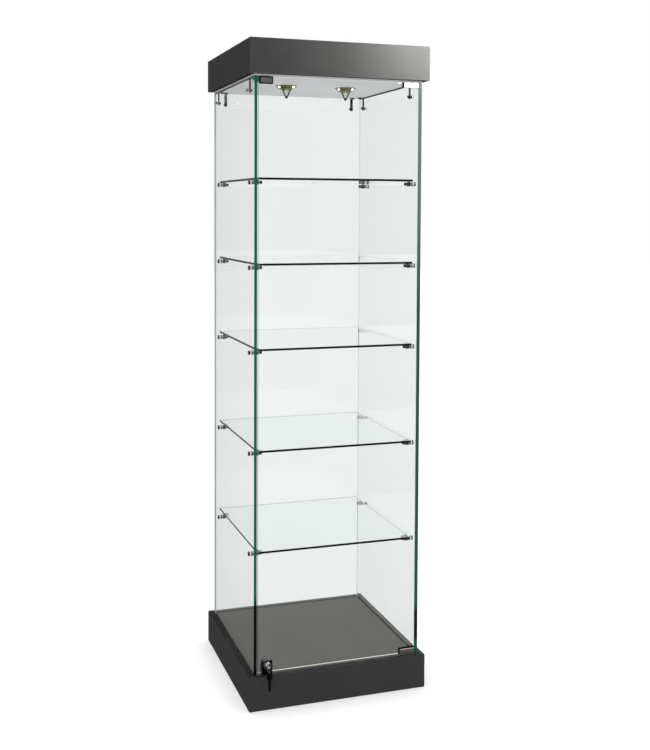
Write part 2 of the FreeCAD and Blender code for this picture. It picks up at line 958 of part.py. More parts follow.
# The transformer stands between the lamps, so each lead is a short straight run into its cup.
lead_z = ceiling_top + s.lead_rise
lead_end = s.lamp_offset - cup_inside
lead_ways = (("-X", -1), ("+X", 1))
lead_starts = [(s.transformer_length / 2 * sign, -s.lamp_forward, lead_z) for way, sign in lead_ways]
cups = []
for (at, degrees), (way, sign) in zip(lamp_spots, lead_ways):
    inward_way = "+X" if way == "-X" else "-X"
    hole_at = (sized(0), sized(0), s.board + s.lead_rise)
    hole = rod(s.lead_radius + s.lead_play, s.lamp_cup_radius, hole_at, inward_way)
    cups += copies(cut(f"cup_master_{inward_way[1]}", cup_blank, [hole]), [(at, degrees)])
keep(group("lamp_bezels", copies(bezel_master, lamp_spots)))
keep(group("lamp_cups", cups))
keep(group("lamp_cones", copies(cone_master, lamp_spots)))
keep(group("lamp_sockets", copies(socket_master, lamp_spots)))
keep(group("lamp_bulbs", copies(bulb_master, lamp_spots)))
keep(
    block(
        (-s.transformer_length / 2, -s.lamp_forward - s.transformer_width / 2, ceiling_top),
        (
            s.transformer_length / 2,
            s.transformer_width / 2 - s.lamp_forward,
            ceiling_top + s.transformer_height,
        ),
        "lamp_transformer",
    )
)
keep(
    group(
        "lamp_leads",
        [
            rod(s.lead_radius, lead_end - s.transformer_length / 2, at, way)
            for at, (way, sign) in zip(lead_starts, lead_ways)
        ],
    )
)

# Ceiling panel, drilled for the lamps, brackets, top pivot and latch

ceiling_cutters = [
    rod(s.lamp_hole_radius, s.board, at, "+Z") for at, degrees in lamp_spots
]
ceiling_cutters += copies(bracket_pilot_master, bracket_spots)
ceiling_cutters += latch_pilots
ceiling_cutters.append(rod(pivot_hole, s.pivot_spigot, (pivot_x, door_middle, ceiling), "+Z"))
ceiling_blank = block((-panel_x, -panel_y, ceiling), (panel_x, panel_y, ceiling_top))
keep(cut("ceiling_panel", ceiling_blank, ceiling_cutters))

# Lock housing: a clamp block with a boss for the plug and a nose for the bolt

lock_high = lock_low + s.lock_height
lock_left = lock_x - s.lock_width / 2
lock_right = lock_x + s.lock_width / 2
head_top = s.bolt_head_height - s.bolt_head_drop
bolt_throw = s.crank_half_throw * 2
cavity_front = bolt_y - s.bolt_thickness / 2 - s.bolt_play
cavity_back = bolt_y + s.bolt_thickness / 2 + s.bolt_play
cavity_half = s.bolt_head_half_width + s.bolt_play
nose_low = lock_low - s.lock_nose_length
lock_blank = fused(
    "lock_blank",
    [
        block((lock_left, lock_face, lock_low), (lock_right, door_front, lock_high)),
        rod(s.lock_boss_radius, s.lock_boss_length, (lock_x, boss_face, lock_z), "+Y"),
        rod(s.lock_nose_radius, s.lock_nose_length, (lock_x, bolt_y, nose_low), "+Z"),
    ],
)
bolt_cavity = block(
    (lock_x - cavity_half, cavity_front, lock_z - s.bolt_head_drop - bolt_throw - s.bolt_play),
    (lock_x + cavity_half, cavity_back, lock_z + head_top + s.bolt_play),
)
plug_bore = rod(s.plug_radius + s.plug_play, cavity_front - boss_face, (lock_x, boss_face, lock_z), "+Y")
bolt_bore = rod(s.bolt_radius + s.bolt_play, lock_z - nose_low, (lock_x, bolt_y, nose_low), "+Z")
lock_pilots = [
    rod(clamp_hole, s.lock_screw_bite + s.fit_play, (x, door_front, z), "-Y") for x, z in lock_screw_spots
]
keep(cut("lock_housing", lock_blank, [bolt_cavity, plug_bore, bolt_bore] + lock_pilots))

lock_plate_back = door_back + s.lock_plate_thickness
lock_plate_middle = lock_z - s.lock_screw_drop
lock_plate = block(
    (lock_left, door_back, lock_plate_middle - s.lock_plate_height / 2),
    (lock_right, lock_plate_back, lock_plate_middle + s.lock_plate_height / 2),
)
plate_holes = [rod(clamp_hole, s.lock_plate_thickness, (x, door_back, z), "+Y") for x, z in lock_screw_spots]
keep(cut("lock_back_plate", lock_plate, plate_holes))
lock_screw_steps = [
    (s.clamp_screw_head_radius, s.clamp_screw_head_height),
    (s.clamp_screw_radius, s.lock_plate_thickness + s.door_thickness + s.lock_screw_bite),
]
lock_screw_top = lock_plate_back + s.clamp_screw_head_height
keep(
    group(
        "lock_screws",
        [
            turned("lock_screw", lock_screw_steps, (x, lock_screw_top, z), "-Y")
            for x, z in lock_screw_spots
        ],
    )
)

# Plug and bolt: a quarter turn carries the crank pin from above the axis to as far below it

plug_back = cavity_front - s.plug_end_play
pin_at = (lock_x + s.crank_half_throw, plug_back, lock_z + s.crank_half_throw)
pin_length = cavity_back - s.bolt_play - plug_back
plug_blank = fused(
    "plug_blank",
    [
        rod(s.plug_radius, plug_back - plug_face, (lock_x, plug_face, lock_z), "+Y"),
        rod(s.crank_pin_radius, pin_length, pin_at, "+Y"),
    ],
)
keyway_x = s.key_blade_thickness / 2 + s.key_play
keyway_z = s.key_blade_width / 2 + s.key_play
keyway = block(
    (lock_x - keyway_x, plug_face, lock_z - keyway_z),
    (lock_x + keyway_x, plug_face + s.key_blade_length + s.key_play, lock_z + keyway_z),
)
keep(cut("lock_plug", plug_blank, [keyway]))

head_low = lock_z - s.bolt_head_drop
bolt_blank = fused(
    "bolt_blank",
    [
        block(
            (lock_x - s.bolt_head_half_width, bolt_y - s.bolt_thickness / 2, head_low),
            (lock_x + s.bolt_head_half_width, bolt_y + s.bolt_thickness / 2, lock_z + head_top),
        ),
        rod(s.bolt_radius, head_low - bolt_tip, (lock_x, bolt_y, bolt_tip), "+Z"),
    ],
)
slot_half = s.crank_pin_radius + s.crank_play
# The pin swings out to root two times the half throw, so the slot runs to one and a half times it.
crank_slot = block(
    (
        lock_x + s.crank_half_throw - slot_half,
        bolt_y - s.bolt_thickness / 2,
        lock_z + s.crank_half_throw - slot_half,
    ),
    (
        lock_x + s.crank_half_throw * 1.5 + slot_half,
        bolt_y + s.bolt_thickness / 2,
        lock_z + s.crank_half_throw + slot_half,
    ),
)
keep(cut("lock_bolt", bolt_blank, [crank_slot]))

# Keys: one in the plug, and a spare that hangs from a ring round the first key's neck

neck_end = plug_face - s.key_neck_length
bow_at = (lock_x - s.key_bow_thickness / 2, neck_end - s.key_bow_radius, lock_z)
blade_half_x = s.key_blade_thickness / 2
blade_half_z = s.key_blade_width / 2
bow_web = block(
    (lock_x - blade_half_x, neck_end - s.key_bow_radius, lock_z - s.key_neck_radius),
    (lock_x + blade_half_x, neck_end, lock_z + s.key_neck_radius),
)
keep(
    fused(
        "door_key",
        [
            block(
                (lock_x - blade_half_x, plug_face, lock_z - blade_half_z),
                (lock_x + blade_half_x, plug_face + s.key_blade_length, lock_z + blade_half_z),
            ),
            rod(s.key_neck_radius, s.key_neck_length, (lock_x, plug_face, lock_z), "-Y"),
            bow_web,
            rod(s.key_bow_radius, s.key_bow_thickness, bow_at, "+X"),
        ],
    )
)
ring_y = plug_face - s.ring_setback
ring_inner = s.ring_radius - s.ring_wire_radius
ring_z = lock_z + s.key_neck_radius + s.ring_play - ring_inner
ring = bind(make("Part::Torus", "key_ring"), Radius1=s.ring_radius, Radius2=s.ring_wire_radius)
keep(place(ring, (lock_x, ring_y, ring_z), FreeCAD.Rotation(upright, ways["+Y"])))

slot_top = s.ring_wire_radius + s.spare_hang_gap
spare_top = slot_top + s.spare_slot_margin
spare_low = spare_top - s.spare_head_height
half_thick = s.spare_head_thickness / 2
half_blade = s.key_blade_thickness / 2
spare_blank = fused(
    "spare_blank",
    [
        block(
            (-s.spare_head_width / 2, -half_thick, spare_low),
            (s.spare_head_width / 2, half_thick, spare_top),
        ),
        block(
            (-s.spare_blade_width / 2, -half_blade, spare_low - s.spare_blade_length),
            (s.spare_blade_width / 2, half_blade, spare_low),
        ),
    ],
)
spare_slot = block(
    (-s.spare_slot_width / 2, -half_thick, slot_top - s.spare_slot_height),
    (s.spare_slot_width / 2, half_thick, slot_top),
)
spare_key = cut("spare_key", spare_blank, [spare_slot])
spare_key.Placement = FreeCAD.Placement(FreeCAD.Vector(), about_z(s.spare_turn.value))
bind(spare_key, **{"Placement.Rotation.Angle": s.spare_turn})
keep(place(spare_key, (lock_x, ring_y, ring_z - s.ring_radius)))

# Every object is checked before any file is written

doc.recompute()
failed = [item.Label for item in doc.Objects if {"Invalid", "Error"} & set(item.State)]
for item in finished:
    if item.Shape.isNull() or not item.Shape.isValid() or not item.Shape.Solids:
        failed.append(item.Label)
if failed:
    raise RuntimeError(f"failed objects: {failed}")

os.makedirs("parts", exist_ok=True)
for item in finished:
    item.Shape.exportStep(f"parts/{item.Label}.step")
print(len(finished), "sub-parts,", sum(len(item.Shape.Solids) for item in finished), "solids")
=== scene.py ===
import math

import bmesh
import bpy
import numpy as np
from mathutils import Matrix, Vector


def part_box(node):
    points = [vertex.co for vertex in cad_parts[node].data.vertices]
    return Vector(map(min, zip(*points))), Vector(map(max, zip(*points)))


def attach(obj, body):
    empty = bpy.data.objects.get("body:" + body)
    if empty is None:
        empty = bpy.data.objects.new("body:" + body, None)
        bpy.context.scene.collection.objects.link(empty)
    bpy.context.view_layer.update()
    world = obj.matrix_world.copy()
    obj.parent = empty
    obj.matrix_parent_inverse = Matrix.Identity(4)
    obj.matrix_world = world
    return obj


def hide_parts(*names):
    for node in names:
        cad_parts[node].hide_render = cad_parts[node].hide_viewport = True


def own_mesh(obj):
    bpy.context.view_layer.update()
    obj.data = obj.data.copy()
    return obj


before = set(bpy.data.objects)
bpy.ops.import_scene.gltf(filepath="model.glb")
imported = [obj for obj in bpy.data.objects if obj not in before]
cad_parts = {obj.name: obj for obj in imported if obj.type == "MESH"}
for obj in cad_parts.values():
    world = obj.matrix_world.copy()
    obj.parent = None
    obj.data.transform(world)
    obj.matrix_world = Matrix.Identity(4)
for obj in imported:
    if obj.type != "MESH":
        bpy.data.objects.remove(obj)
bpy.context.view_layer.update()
mm = 0.001
print("stage: frame loaded")


# Shader nodes. A wire is one socket, and sums and products of wires make Math nodes.

class Wire:
    def __init__(self, graph, socket):
        self.graph = graph
        self.socket = socket

    def __add__(self, other):
        return self.graph.maths("ADD", self, other)

    def __sub__(self, other):
        return self.graph.maths("SUBTRACT", self, other)

    def __rsub__(self, other):
        return self.graph.maths("SUBTRACT", other, self)

    def __mul__(self, other):
        return self.graph.maths("MULTIPLY", self, other)

    def __mod__(self, other):
        return self.graph.maths("MODULO", self, other)

    __radd__ = __add__
    __rmul__ = __mul__

    def larger(self, other):
        return self.graph.maths("MAXIMUM", self, other)

    def size(self):
        return self.graph.maths("ABSOLUTE", self, 0)

    # 0 up to low, 1 from high on, and straight between them.
    def ramp(self, low, high):
        spots = {"Value": self, "From Min": low, "From Max": high}
        return self.graph.node("ShaderNodeMapRange", spots).wire("Result")


class Made:
    def __init__(self, graph, node):
        self.graph = graph
        self.node = node

    def wire(self, name):
        return Wire(self.graph, self.node.outputs[name])


class Graph:
    def __init__(self, tree):
        self.tree = tree

    def node(self, kind, inputs=None, **settings):
        made = self.tree.nodes.new(kind)
        for name, value in settings.items():
            setattr(made, name, value)
        for name, value in (inputs or {}).items():
            self.feed(made.inputs[name], value)
        return Made(self, made)

    def feed(self, socket, value):
        if isinstance(value, Wire):
            self.tree.links.new(value.socket, socket)
        elif socket.type == "RGBA" and len(value) == 3:
            socket.default_value = (*value, 1)
        else:
            socket.default_value = value

    def maths(self, operation, first, second):
        return self.node("ShaderNodeMath", {0: first, 1: second}, operation=operation).wire("Value")

    def mixed(self, share, first, second):
        inputs = {0: share, 6: first, 7: second}
        return self.node("ShaderNodeMix", inputs, data_type="RGBA").wire(2)


# One material: its Principled shader, with the piece's own coordinates in metres.

class Paint(Graph):
    def __init__(self, name, **sockets):
        self.material = bpy.data.materials.new(name)
        self.material.use_nodes = True
        super().__init__(self.material.node_tree)
        self.shader = self.tree.nodes["Principled BSDF"]
        self.output = self.tree.nodes["Material Output"]
        self.spot = self.node("ShaderNodeTexCoord").wire("Object")
        self.dress(**sockets)

    def dress(self, **sockets):
        for name, value in sockets.items():
            words = "".join(" " + letter if letter.isupper() else letter for letter in name)
            self.feed(self.shader.inputs[words.strip().title().replace("Ior", "IOR")], value)

    def axis(self, letter):
        return self.node("ShaderNodeSeparateXYZ", {0: self.spot}).wire(letter)

    # Cloudy value noise, about 0.5. Stretch multiplies the coordinates first.
    def noise(self, scale, detail=2.0, stretch=(1, 1, 1)):
        spot = self.node("ShaderNodeVectorMath", {0: self.spot, 1: stretch}, operation="MULTIPLY").wire(0)
        return self.node("ShaderNodeTexNoise", {"Vector": spot, "Scale": scale, "Detail": detail}).wire(0)

    def bump(self, height, distance, strength):
        inputs = {"Height": height, "Distance": distance, "Strength": strength}
        self.dress(normal=self.node("ShaderNodeBump", inputs).wire("Normal"))

    # Where the share is 1, another shader takes over from what reaches the output so far.
    def swap(self, share, other):
        links = self.output.inputs["Surface"].links
        surface = Wire(self, links[0].from_socket)
        both = self.node("ShaderNodeMixShader", {0: share, 1: surface, 2: other}).wire(0)
        self.feed(self.output.inputs["Surface"], both)

    # Light passes the glass unbent on its way to what it lights.
    def letLightThrough(self):
        path = self.node("ShaderNodeLightPath")
        clear = self.node("ShaderNodeBsdfTransparent").wire(0)
        for kind in ("Is Diffuse Ray", "Is Shadow Ray"):
            self.swap(path.wire(kind), clear)


# A colour made darker and lighter by a share.
def eitherSide(colour, share):
    return [c * (1 - share) for c in colour], [min(1, c * (1 + share)) for c in colour]


# A decorative laminate: fine pebble, faint clouding, the brown core line where the sheet is trimmed, which on the
# front fascia is also a painted highlight along its lower edge, and the shade of a board's upper rim, which is
# another one behind and on the right.
sheet = {
    "stray": 0.14,
    "contrast": (0.3, 0.7),
    "core": (0.30, 0.25, 0.19),
    "coreAndHighlightLine": (0.0007, 0.0010),
    "coreAndHighlightShare": 0.2,
    "roughStray": 0.10,
}


def laminate(name, colour, rough, gloss=0.5, trim=None, rim=None):
    paint = Paint(name, specularIorLevel=gloss)
    cloud = paint.noise(scale=5, detail=3)
    fleck = paint.noise(scale=420)
    tone = (cloud * 0.5 + fleck * 0.5).ramp(*sheet["contrast"])
    base = paint.mixed(tone, *eitherSide(colour, sheet["stray"]))
    level = paint.axis("Z")
    if trim:
        line = 1 - (level - trim).size().ramp(*sheet["coreAndHighlightLine"])
        base = paint.mixed(line * sheet["coreAndHighlightShare"], base, sheet["core"])
    if rim:
        far = paint.axis("X").ramp(*rim["right"]) * paint.axis("Y").ramp(*rim["back"])
        base = paint.mixed(level.ramp(*rim["level"]), base, paint.mixed(far, rim["near"], rim["far"]))
    paint.dress(baseColor=base, roughness=cloud * sheet["roughStray"] + (rough - sheet["roughStray"] / 2))
    paint.bump(paint.noise(scale=700, detail=1), distance=0.00006, strength=0.6)
    return paint.material


# Plated or spun metal: faint dull clouds and a fine grain, which a streak stretches.
plating = {"dull": 0.9, "contrast": (0.35, 0.7), "grain": 0.08}


def metal(name, colour, rough, streak=(1, 1, 1)):
    paint = Paint(name, metallic=1.0)
    wear = paint.noise(scale=900, stretch=streak)
    cloud = paint.noise(scale=60)
    shade = paint.mixed(cloud.ramp(*plating["contrast"]), [c * plating["dull"] for c in colour], colour)
    paint.dress(baseColor=shade, roughness=wear * plating["grain"] + (rough - plating["grain"] / 2))
    paint.bump(wear, distance=0.00001, strength=0.3)
    return paint.material


# Moulded plastic and rubber: faint clouds and a fine pebble.
moulding = {"stray": 0.15, "contrast": (0.3, 0.7), "roughStray": 0.12}


def plastic(name, colour, rough, gloss=0.3, pebbleScale=1500, depth=0.00004):
    paint = Paint(name, specularIorLevel=gloss)
    cloud = paint.noise(scale=45)
    shade = paint.mixed(cloud.ramp(*moulding["contrast"]), *eitherSide(colour, moulding["stray"]))
    paint.dress(baseColor=shade, roughness=cloud * moulding["roughStray"] + (rough - moulding["roughStray"] / 2))
    paint.bump(paint.noise(scale=pebbleScale, detail=1), distance=depth, strength=0.5)
    return paint.material


# The shade of a glass edge: it drifts between two, and others take over between two heights. The changes by height
# are painted reflections: dark low down, where the edge shows the dark plinth and deck, and lighter higher up.
def edgeShade(paint, colour, deep, changes):
    shade = paint.mixed(paint.noise(scale=2.2).ramp(0.35, 0.65), deep, colour)
    height = paint.axis("Z")
    for low, high, above in changes:
        shade = paint.mixed(height.ramp(low, high), shade, above)
    return shade


# Flat glass: the wide faces are almost clear, and the polished edges carry the green. A rim is a front strip of the
# wide faces painted in the edge's shade: a painted reflection of the edge seen inside the sheet.
def clearGlass(name, tint, bend=1.5, rim=None):
    paint = Paint(name, transmissionWeight=1.0, ior=bend, roughness=0.0)
    duller = [c * 0.985 for c in tint]
    paint.dress(baseColor=paint.mixed(paint.noise(scale=1.6), duller, tint))
    paint.letLightThrough()
    if rim:
        matt = {"Base Color": edgeShade(paint, *rim["shades"]), "Roughness": 1.0, "Specular IOR Level": 0.0}
        reflectedEdge = paint.node("ShaderNodeBsdfPrincipled", matt).wire(0)
        paint.swap(1 - paint.axis("Y").ramp(*rim["depth"]), reflectedEdge)
    return paint.material


# A polished edge. Its paint stands for the light that real glass carries along the sheet, and its changes by height
# are painted reflections.
def glassEdge(name, colour, deep, *changes):
    paint = Paint(name, roughness=0.08, specularIorLevel=0.3)
    paint.dress(baseColor=edgeShade(paint, colour, deep, changes))
    paint.bump(paint.noise(scale=260, detail=1), distance=0.00003, strength=0.4)
    return paint.material


def timber(name):
    paint = Paint(name, roughness=0.7)
    ring = paint.noise(scale=28, detail=4, stretch=(1, 1, 6))
    paint.dress(baseColor=paint.mixed(ring.ramp(0.35, 0.65), (0.50, 0.34, 0.19), (0.68, 0.50, 0.31)))
    paint.bump(ring, distance=0.0003, strength=0.4)
    return paint.material


def glowing(name, colour, strength):
    paint = Paint(name, roughness=0.3, emissionStrength=strength)
    core = paint.noise(scale=120, detail=1).ramp(0.3, 0.7)
    paint.dress(baseColor=(0.9, 0.9, 0.86), emissionColor=paint.mixed(core, colour, (1, 1, 1)))
    return paint.material


# Where a shade takes over from another is given in metres, as a start and an end.
green, deepGreen, black = (0.008, 0.105, 0.070), (0.004, 0.068, 0.046), (0.001, 0.001, 0.001)
plinthRim = {
    "level": (0.0942, 0.0947),
    "right": (-0.244, -0.236),
    "back": (-0.225, -0.170),
    "near": (0.0210, 0.0213, 0.0220),
    "far": (0.120, 0.122, 0.110),
}
# The right pane's front edge, from the bottom up: painted reflections, with a dark band low down and lighter greens
# higher up.
rightReflectionBands = (
    (0.125, 0.140, (0.005, 0.012, 0.009)),
    (0.215, 0.240, (0.020, 0.090, 0.066)),
    (1.10, 1.34, (0.063, 0.185, 0.150)),
    (1.34, 1.60, (0.127, 0.223, 0.188)),
    (1.60, 1.68, (0.165, 0.235, 0.207)),
)
# A painted reflection: the right pane's wide faces take its front edge's shade in a strip at the front.
rightEdgeReflection = {"depth": (-0.2385, -0.2375), "shades": (green, deepGreen, rightReflectionBands)}
paints = {
    "plinth": laminate("plinthLaminate", (0.0365, 0.0370, 0.0382), rough=0.42, gloss=0.08, rim=plinthRim),
    "plinthSide": laminate("plinthSideLaminate", (0.0382, 0.0387, 0.0400), rough=0.42, gloss=0.004, rim=plinthRim),
    # The front laminate's core line at its lower edge is partly a painted highlight.
    "canopy": laminate("canopyLaminate", (0.0360, 0.0380, 0.0364), rough=0.235, gloss=0.55, trim=1.7355),
    "canopySide": laminate("canopySideLaminate", (0.0350, 0.0357, 0.0370), rough=0.42, gloss=0.02),
    "canopyRear": laminate("canopyRearLaminate", (0.0300, 0.0308, 0.0304), rough=0.38, gloss=0.35),
    "boardFoot": laminate("boardFoot", (0.006, 0.006, 0.006), rough=0.5, gloss=0.01),
    "deck": laminate("deckLaminate", (0.114, 0.116, 0.104), rough=0.45, gloss=0.12),
    "ceiling": laminate("ceilingLaminate", (0.615, 0.62, 0.63), rough=0.5, gloss=0.3),
    "timber": timber("cleatTimber"),
    "glass": clearGlass("paneGlass", (0.976, 0.992, 0.9885)),
    # leftGlass and rightGlass are copies of the pane glass tinted lighter: painted light for the brighter side panes.
    "leftGlass": clearGlass("leftGlass", (0.985, 1.0, 0.990), bend=1.10),
    "rightGlass": clearGlass("rightGlass", (0.981, 0.997, 0.993), bend=1.20, rim=rightEdgeReflection),
    "shelfGlass": clearGlass("shelfGlass", (0.930, 0.973, 0.960)),
    # leftEdge: black below about 0.3 m is a painted reflection of the dark plinth and deck, with green above.
    # rightEdge takes the right pane's painted reflections.
    "leftEdge": glassEdge("leftEdge", black, black, (0.285, 0.315, green)),
    "rightEdge": glassEdge("rightEdge", green, deepGreen, *rightReflectionBands),
    # ceilingEdge: the right pane's top edge, painted dark blue-grey, is a painted reflection of the dark joint with
    # the ceiling.
    "ceilingEdge": glassEdge("ceilingEdge", (0.010, 0.018, 0.030), (0.006, 0.010, 0.018)),
    # paleEdge, faintEdge and doorEdge paint glass edges pale, such as the panes' bottom and back edges and the
    # door's: painted highlights.
    "paleEdge": glassEdge("paleEdge", (0.50, 0.57, 0.54), (0.40, 0.47, 0.44)),
    "faintEdge": glassEdge("faintEdge", (0.84, 0.88, 0.86), (0.78, 0.83, 0.81)),
    "doorEdge": glassEdge("doorEdge", (0.95, 0.94, 0.86), (0.85, 0.85, 0.78)),
    # doorSide: the door's left edge is black below about 0.3 m as a painted reflection of the dark plinth and deck,
    # with a paler green above.
    "doorSide": glassEdge("doorSide", (0.008, 0.020, 0.016), black, (0.285, 0.315, (0.12, 0.26, 0.21))),
    # shelfEdge and shelfSide paint the shelves' front and left edges dark: painted shade beside their pale right and
    # back edges.
    "shelfEdge": glassEdge("shelfEdge", (0.003, 0.012, 0.010), (0.0015, 0.006, 0.005)),
    "shelfSide": glassEdge("shelfSide", (0.003, 0.004, 0.004), (0.002, 0.003, 0.003)),
    # The plated parts are one chrome in copies of several tones. darkChrome and lockChrome are painted dark, a
    # painted reflection of the dark room, and brightChrome and greyChrome are painted lighter.
    "chrome": metal("chromePlate", (0.64, 0.64, 0.63), rough=0.09),
    "brightChrome": metal("brightChrome", (0.93, 0.93, 0.92), rough=0.16),
    "darkChrome": metal("darkChrome", (0.11, 0.11, 0.115), rough=0.10),
    "greyChrome": metal("greyChrome", (0.26, 0.26, 0.26), rough=0.16),
    "lockChrome": metal("lockChrome", (0.055, 0.055, 0.058), rough=0.12),
    # satinNickel: the lower hinge plate's beige copy of the plating, a painted reflection of the deck.
    "nickel": metal("satinNickel", (0.60, 0.57, 0.52), rough=0.36, streak=(9, 1, 1)),
    "steel": metal("zincSteel", (0.56, 0.56, 0.54), rough=0.30, streak=(1, 1, 9)),
    "brass": metal("satinBrass", (0.38, 0.36, 0.17), rough=0.31, streak=(6, 6, 1)),
    "aluminium": metal("spunAluminium", (0.82, 0.82, 0.82), rough=0.28, streak=(1, 1, 12)),
    "nylon": plastic("naturalNylon", (0.72, 0.72, 0.69), rough=0.45),
    "blackMetal": plastic("satinBlack", (0.004, 0.004, 0.0043), rough=0.32, gloss=0.12),
    "blackPlastic": plastic("blackMoulding", (0.003, 0.003, 0.0033), rough=0.36, gloss=0.10),
    "greyInset": plastic("greyInset", (0.125, 0.117, 0.117), rough=0.45, gloss=0.15),
    "gasket": plastic("blackGasket", (0.003, 0.003, 0.003), rough=0.55, gloss=0.08),
    "seal": plastic("glazingSeal", (0.028, 0.037, 0.050), rough=0.5, gloss=0.15),
    # greySeal: the left bead's lit copy of the glazing seal, painted lighter.
    "greySeal": plastic("greySeal", (0.17, 0.19, 0.18), rough=0.5, gloss=0.15),
    "rubber": plastic("blackRubber", (0.018, 0.018, 0.018), rough=0.7, gloss=0.3, pebbleScale=900, depth=0.00008),
    "lampGlass": clearGlass("lampGlass", (0.96, 0.965, 0.93)),
    "lampWire": plastic("lampWire", (0.009, 0.009, 0.007), rough=0.32, gloss=0.12),
    "lampGlow": glowing("lampGlow", (1.0, 0.97, 0.90), strength=3.0),
    "clearPlastic": plastic("clearPlastic", (0.80, 0.83, 0.82), rough=0.2),
}
print("stage: materials made")


# Meshes, in millimetres until they are written. A shape gathers points and faces, with a slot for each face.

# The corners of a box's outline across an axis, and its two ends along it.
def crossSection(low, high, axis):
    u, v, w = {"x": (1, 2, 0), "y": (0, 2, 1), "z": (0, 1, 2)}[axis]
    corners = [(low[u], low[v]), (high[u], low[v]), (high[u], high[v]), (low[u], high[v])]
    return corners, low[w], high[w]


class Shape:
    def __init__(self):
        self.points = np.empty((0, 3))
        self.faces = []
        self.slots = []

    def add(self, points, faces, slots):
        self.faces += [block + len(self.points) for block in faces]
        self.points = np.concatenate((self.points, points))
        self.slots += slots
        return self

    # A skin over a grid of points, ring after ring, each ring closed on itself. Flat faces close its two ends,
    # unless the last ring joins the first.
    def skin(self, grid, slots, endSlot, closed=False):
        index = np.arange(grid.shape[0] * grid.shape[1]).reshape(grid.shape[:2])
        lower = index if closed else index[:-1]
        upper = np.roll(index, -1, 0)[: len(lower)]
        quads = np.stack((lower, np.roll(lower, -1, 1), np.roll(upper, -1, 1), upper), -1).reshape(-1, 4)
        ends = [] if closed else [index[:1, ::-1], index[-1:]]
        faceSlots = [np.broadcast_to(slots, lower.shape).ravel()] + [np.array([endSlot])] * len(ends)
        return self.add(grid.reshape(-1, 3), [quads, *ends], faceSlots)

    # A straight bar: an outline carried along an axis, and drawn in by the ease at both ends. Drawing in moves each
    # corner along the sum of its two edges' normals. Ends take one slot, and sides one or one for each edge.
    def prism(self, outline, low, high, axis, ease, endSlot=0, sideSlots=0):
        flat = np.array(outline, float)
        following = np.roll(flat, -1, 0)
        runs = following - flat
        turn = np.sign(np.sum(flat[:, 0] * following[:, 1] - flat[:, 1] * following[:, 0]))
        after = np.stack((-runs[:, 1], runs[:, 0]), 1) * turn / np.linalg.norm(runs, axis=1)[:, None]
        before = np.roll(after, 1, 0)
        drawn = flat + ease * (before + after) / (1 + np.sum(before * after, 1))[:, None]
        depths = np.array((low, low + ease, high - ease, high))
        depths = np.broadcast_to(depths[:, None, None], (4, len(flat), 1))
        grid = np.concatenate((np.stack((drawn, flat, flat, drawn)), depths), 2)
        order = {"x": [2, 0, 1], "y": [0, 2, 1], "z": [0, 1, 2]}[axis]
        return self.skin(grid[:, :, order], sideSlots, endSlot)

    # A box that is drawn in towards its front and back.
    def block(self, low, high, ease, slot=0):
        return self.prism(*crossSection(low, high, "y"), "y", ease, slot, slot)

    # A profile of (radius, run) points turned about an axis through a place: radius times the angle's cosine and
    # sine across the axis, and the run along it.
    def lathe(self, profile, at, way, sides=32, slot=0, closed=False):
        radius, run = np.array(profile, float).T[:, :, None]
        angles = np.arange(sides) * 2 * math.pi / sides
        local = np.stack(np.broadcast_arrays(radius * np.cos(angles), radius * np.sin(angles), run), -1)
        turn = np.array(Vector((0, 0, 1)).rotation_difference(Vector(way)).to_matrix())
        return self.skin(local @ turn.T + np.array(at), slot, slot, closed)

    # A wire wound round Y: the angle runs through the turns, the wire's middle goes round at the radius and along by
    # the pitch, and each ring adds the wire's own circle across and along.
    def coil(self, at, radius, wire, length, turns, steps=24, sides=8):
        angle = np.linspace(0, 2 * math.pi * turns, turns * steps + 1)[:, None]
        phase = np.arange(sides) * 2 * math.pi / sides
        reach = radius + wire * np.cos(phase)
        along = wire + (length - 2 * wire) * angle / angle[-1] + wire * np.sin(phase)
        grid = np.stack(np.broadcast_arrays(reach * np.cos(angle), along, reach * np.sin(angle)), -1)
        return self.skin(grid + np.array(at), 0, 0)

    # A round blind hole in the upper face of a four-sided bar: its rim is the radius times the angle's cosine and
    # sine. Two faces meet at the rim, each with half of the circle, and a wall and a floor close the hole.
    def bore(self, at, radius, depth, sides=24):
        first, second, third, fourth = self.faces.pop()[0]
        slot = self.slots.pop()
        angles = np.arange(sides) * 2 * math.pi / sides
        rim = np.array(at) + radius * np.stack((np.cos(angles), np.sin(angles), 0 * angles), 1)
        ring = len(self.points) + np.arange(sides)
        near = np.array([[first, second, ring[0], *ring[: sides // 2 - 1 : -1], fourth]])
        far = np.array([[second, third, fourth, *ring[sides // 2 :: -1]]])
        wall = np.stack((ring, np.roll(ring, -1), np.roll(ring, -1) + sides, ring + sides), 1)
        self.points = np.concatenate((self.points, rim, rim - np.array((0, 0, depth))))
        self.faces += [near, far, wall, ring[None] + sides]
        self.slots += [slot, slot, np.repeat(slot, sides), slot]

    # Another shape's copy, turned about Z and moved.
    def copy(self, other, at, degrees):
        turn = np.array(Matrix.Rotation(math.radians(degrees), 3, "Z"))
        return self.add(other.points @ turn.T + np.array(at), other.faces, other.slots)

    def piece(self, name, body, nodes, slot, materials, smooth=35):
        mesh = bpy.data.meshes.new(name)
        faces = [face for block in self.faces for face in block.tolist()]
        mesh.from_pydata((self.points * mm).tolist(), [], faces)
        for material in materials:
            mesh.materials.append(paints[material])
        mesh.polygons.foreach_set("material_index", np.concatenate(self.slots).astype(np.int32))
        mesh.validate()
        work = bmesh.new()
        work.from_mesh(mesh)
        bmesh.ops.recalc_face_normals(work, faces=work.faces)
        work.to_mesh(mesh)
        work.free()
        mesh.shade_smooth()
        mesh.set_sharp_from_angle(angle=math.radians(smooth))
        made = bpy.data.objects.new(name, mesh)
        bpy.context.scene.collection.objects.link(made)
        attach(made, body)
        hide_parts(*nodes)
        return made


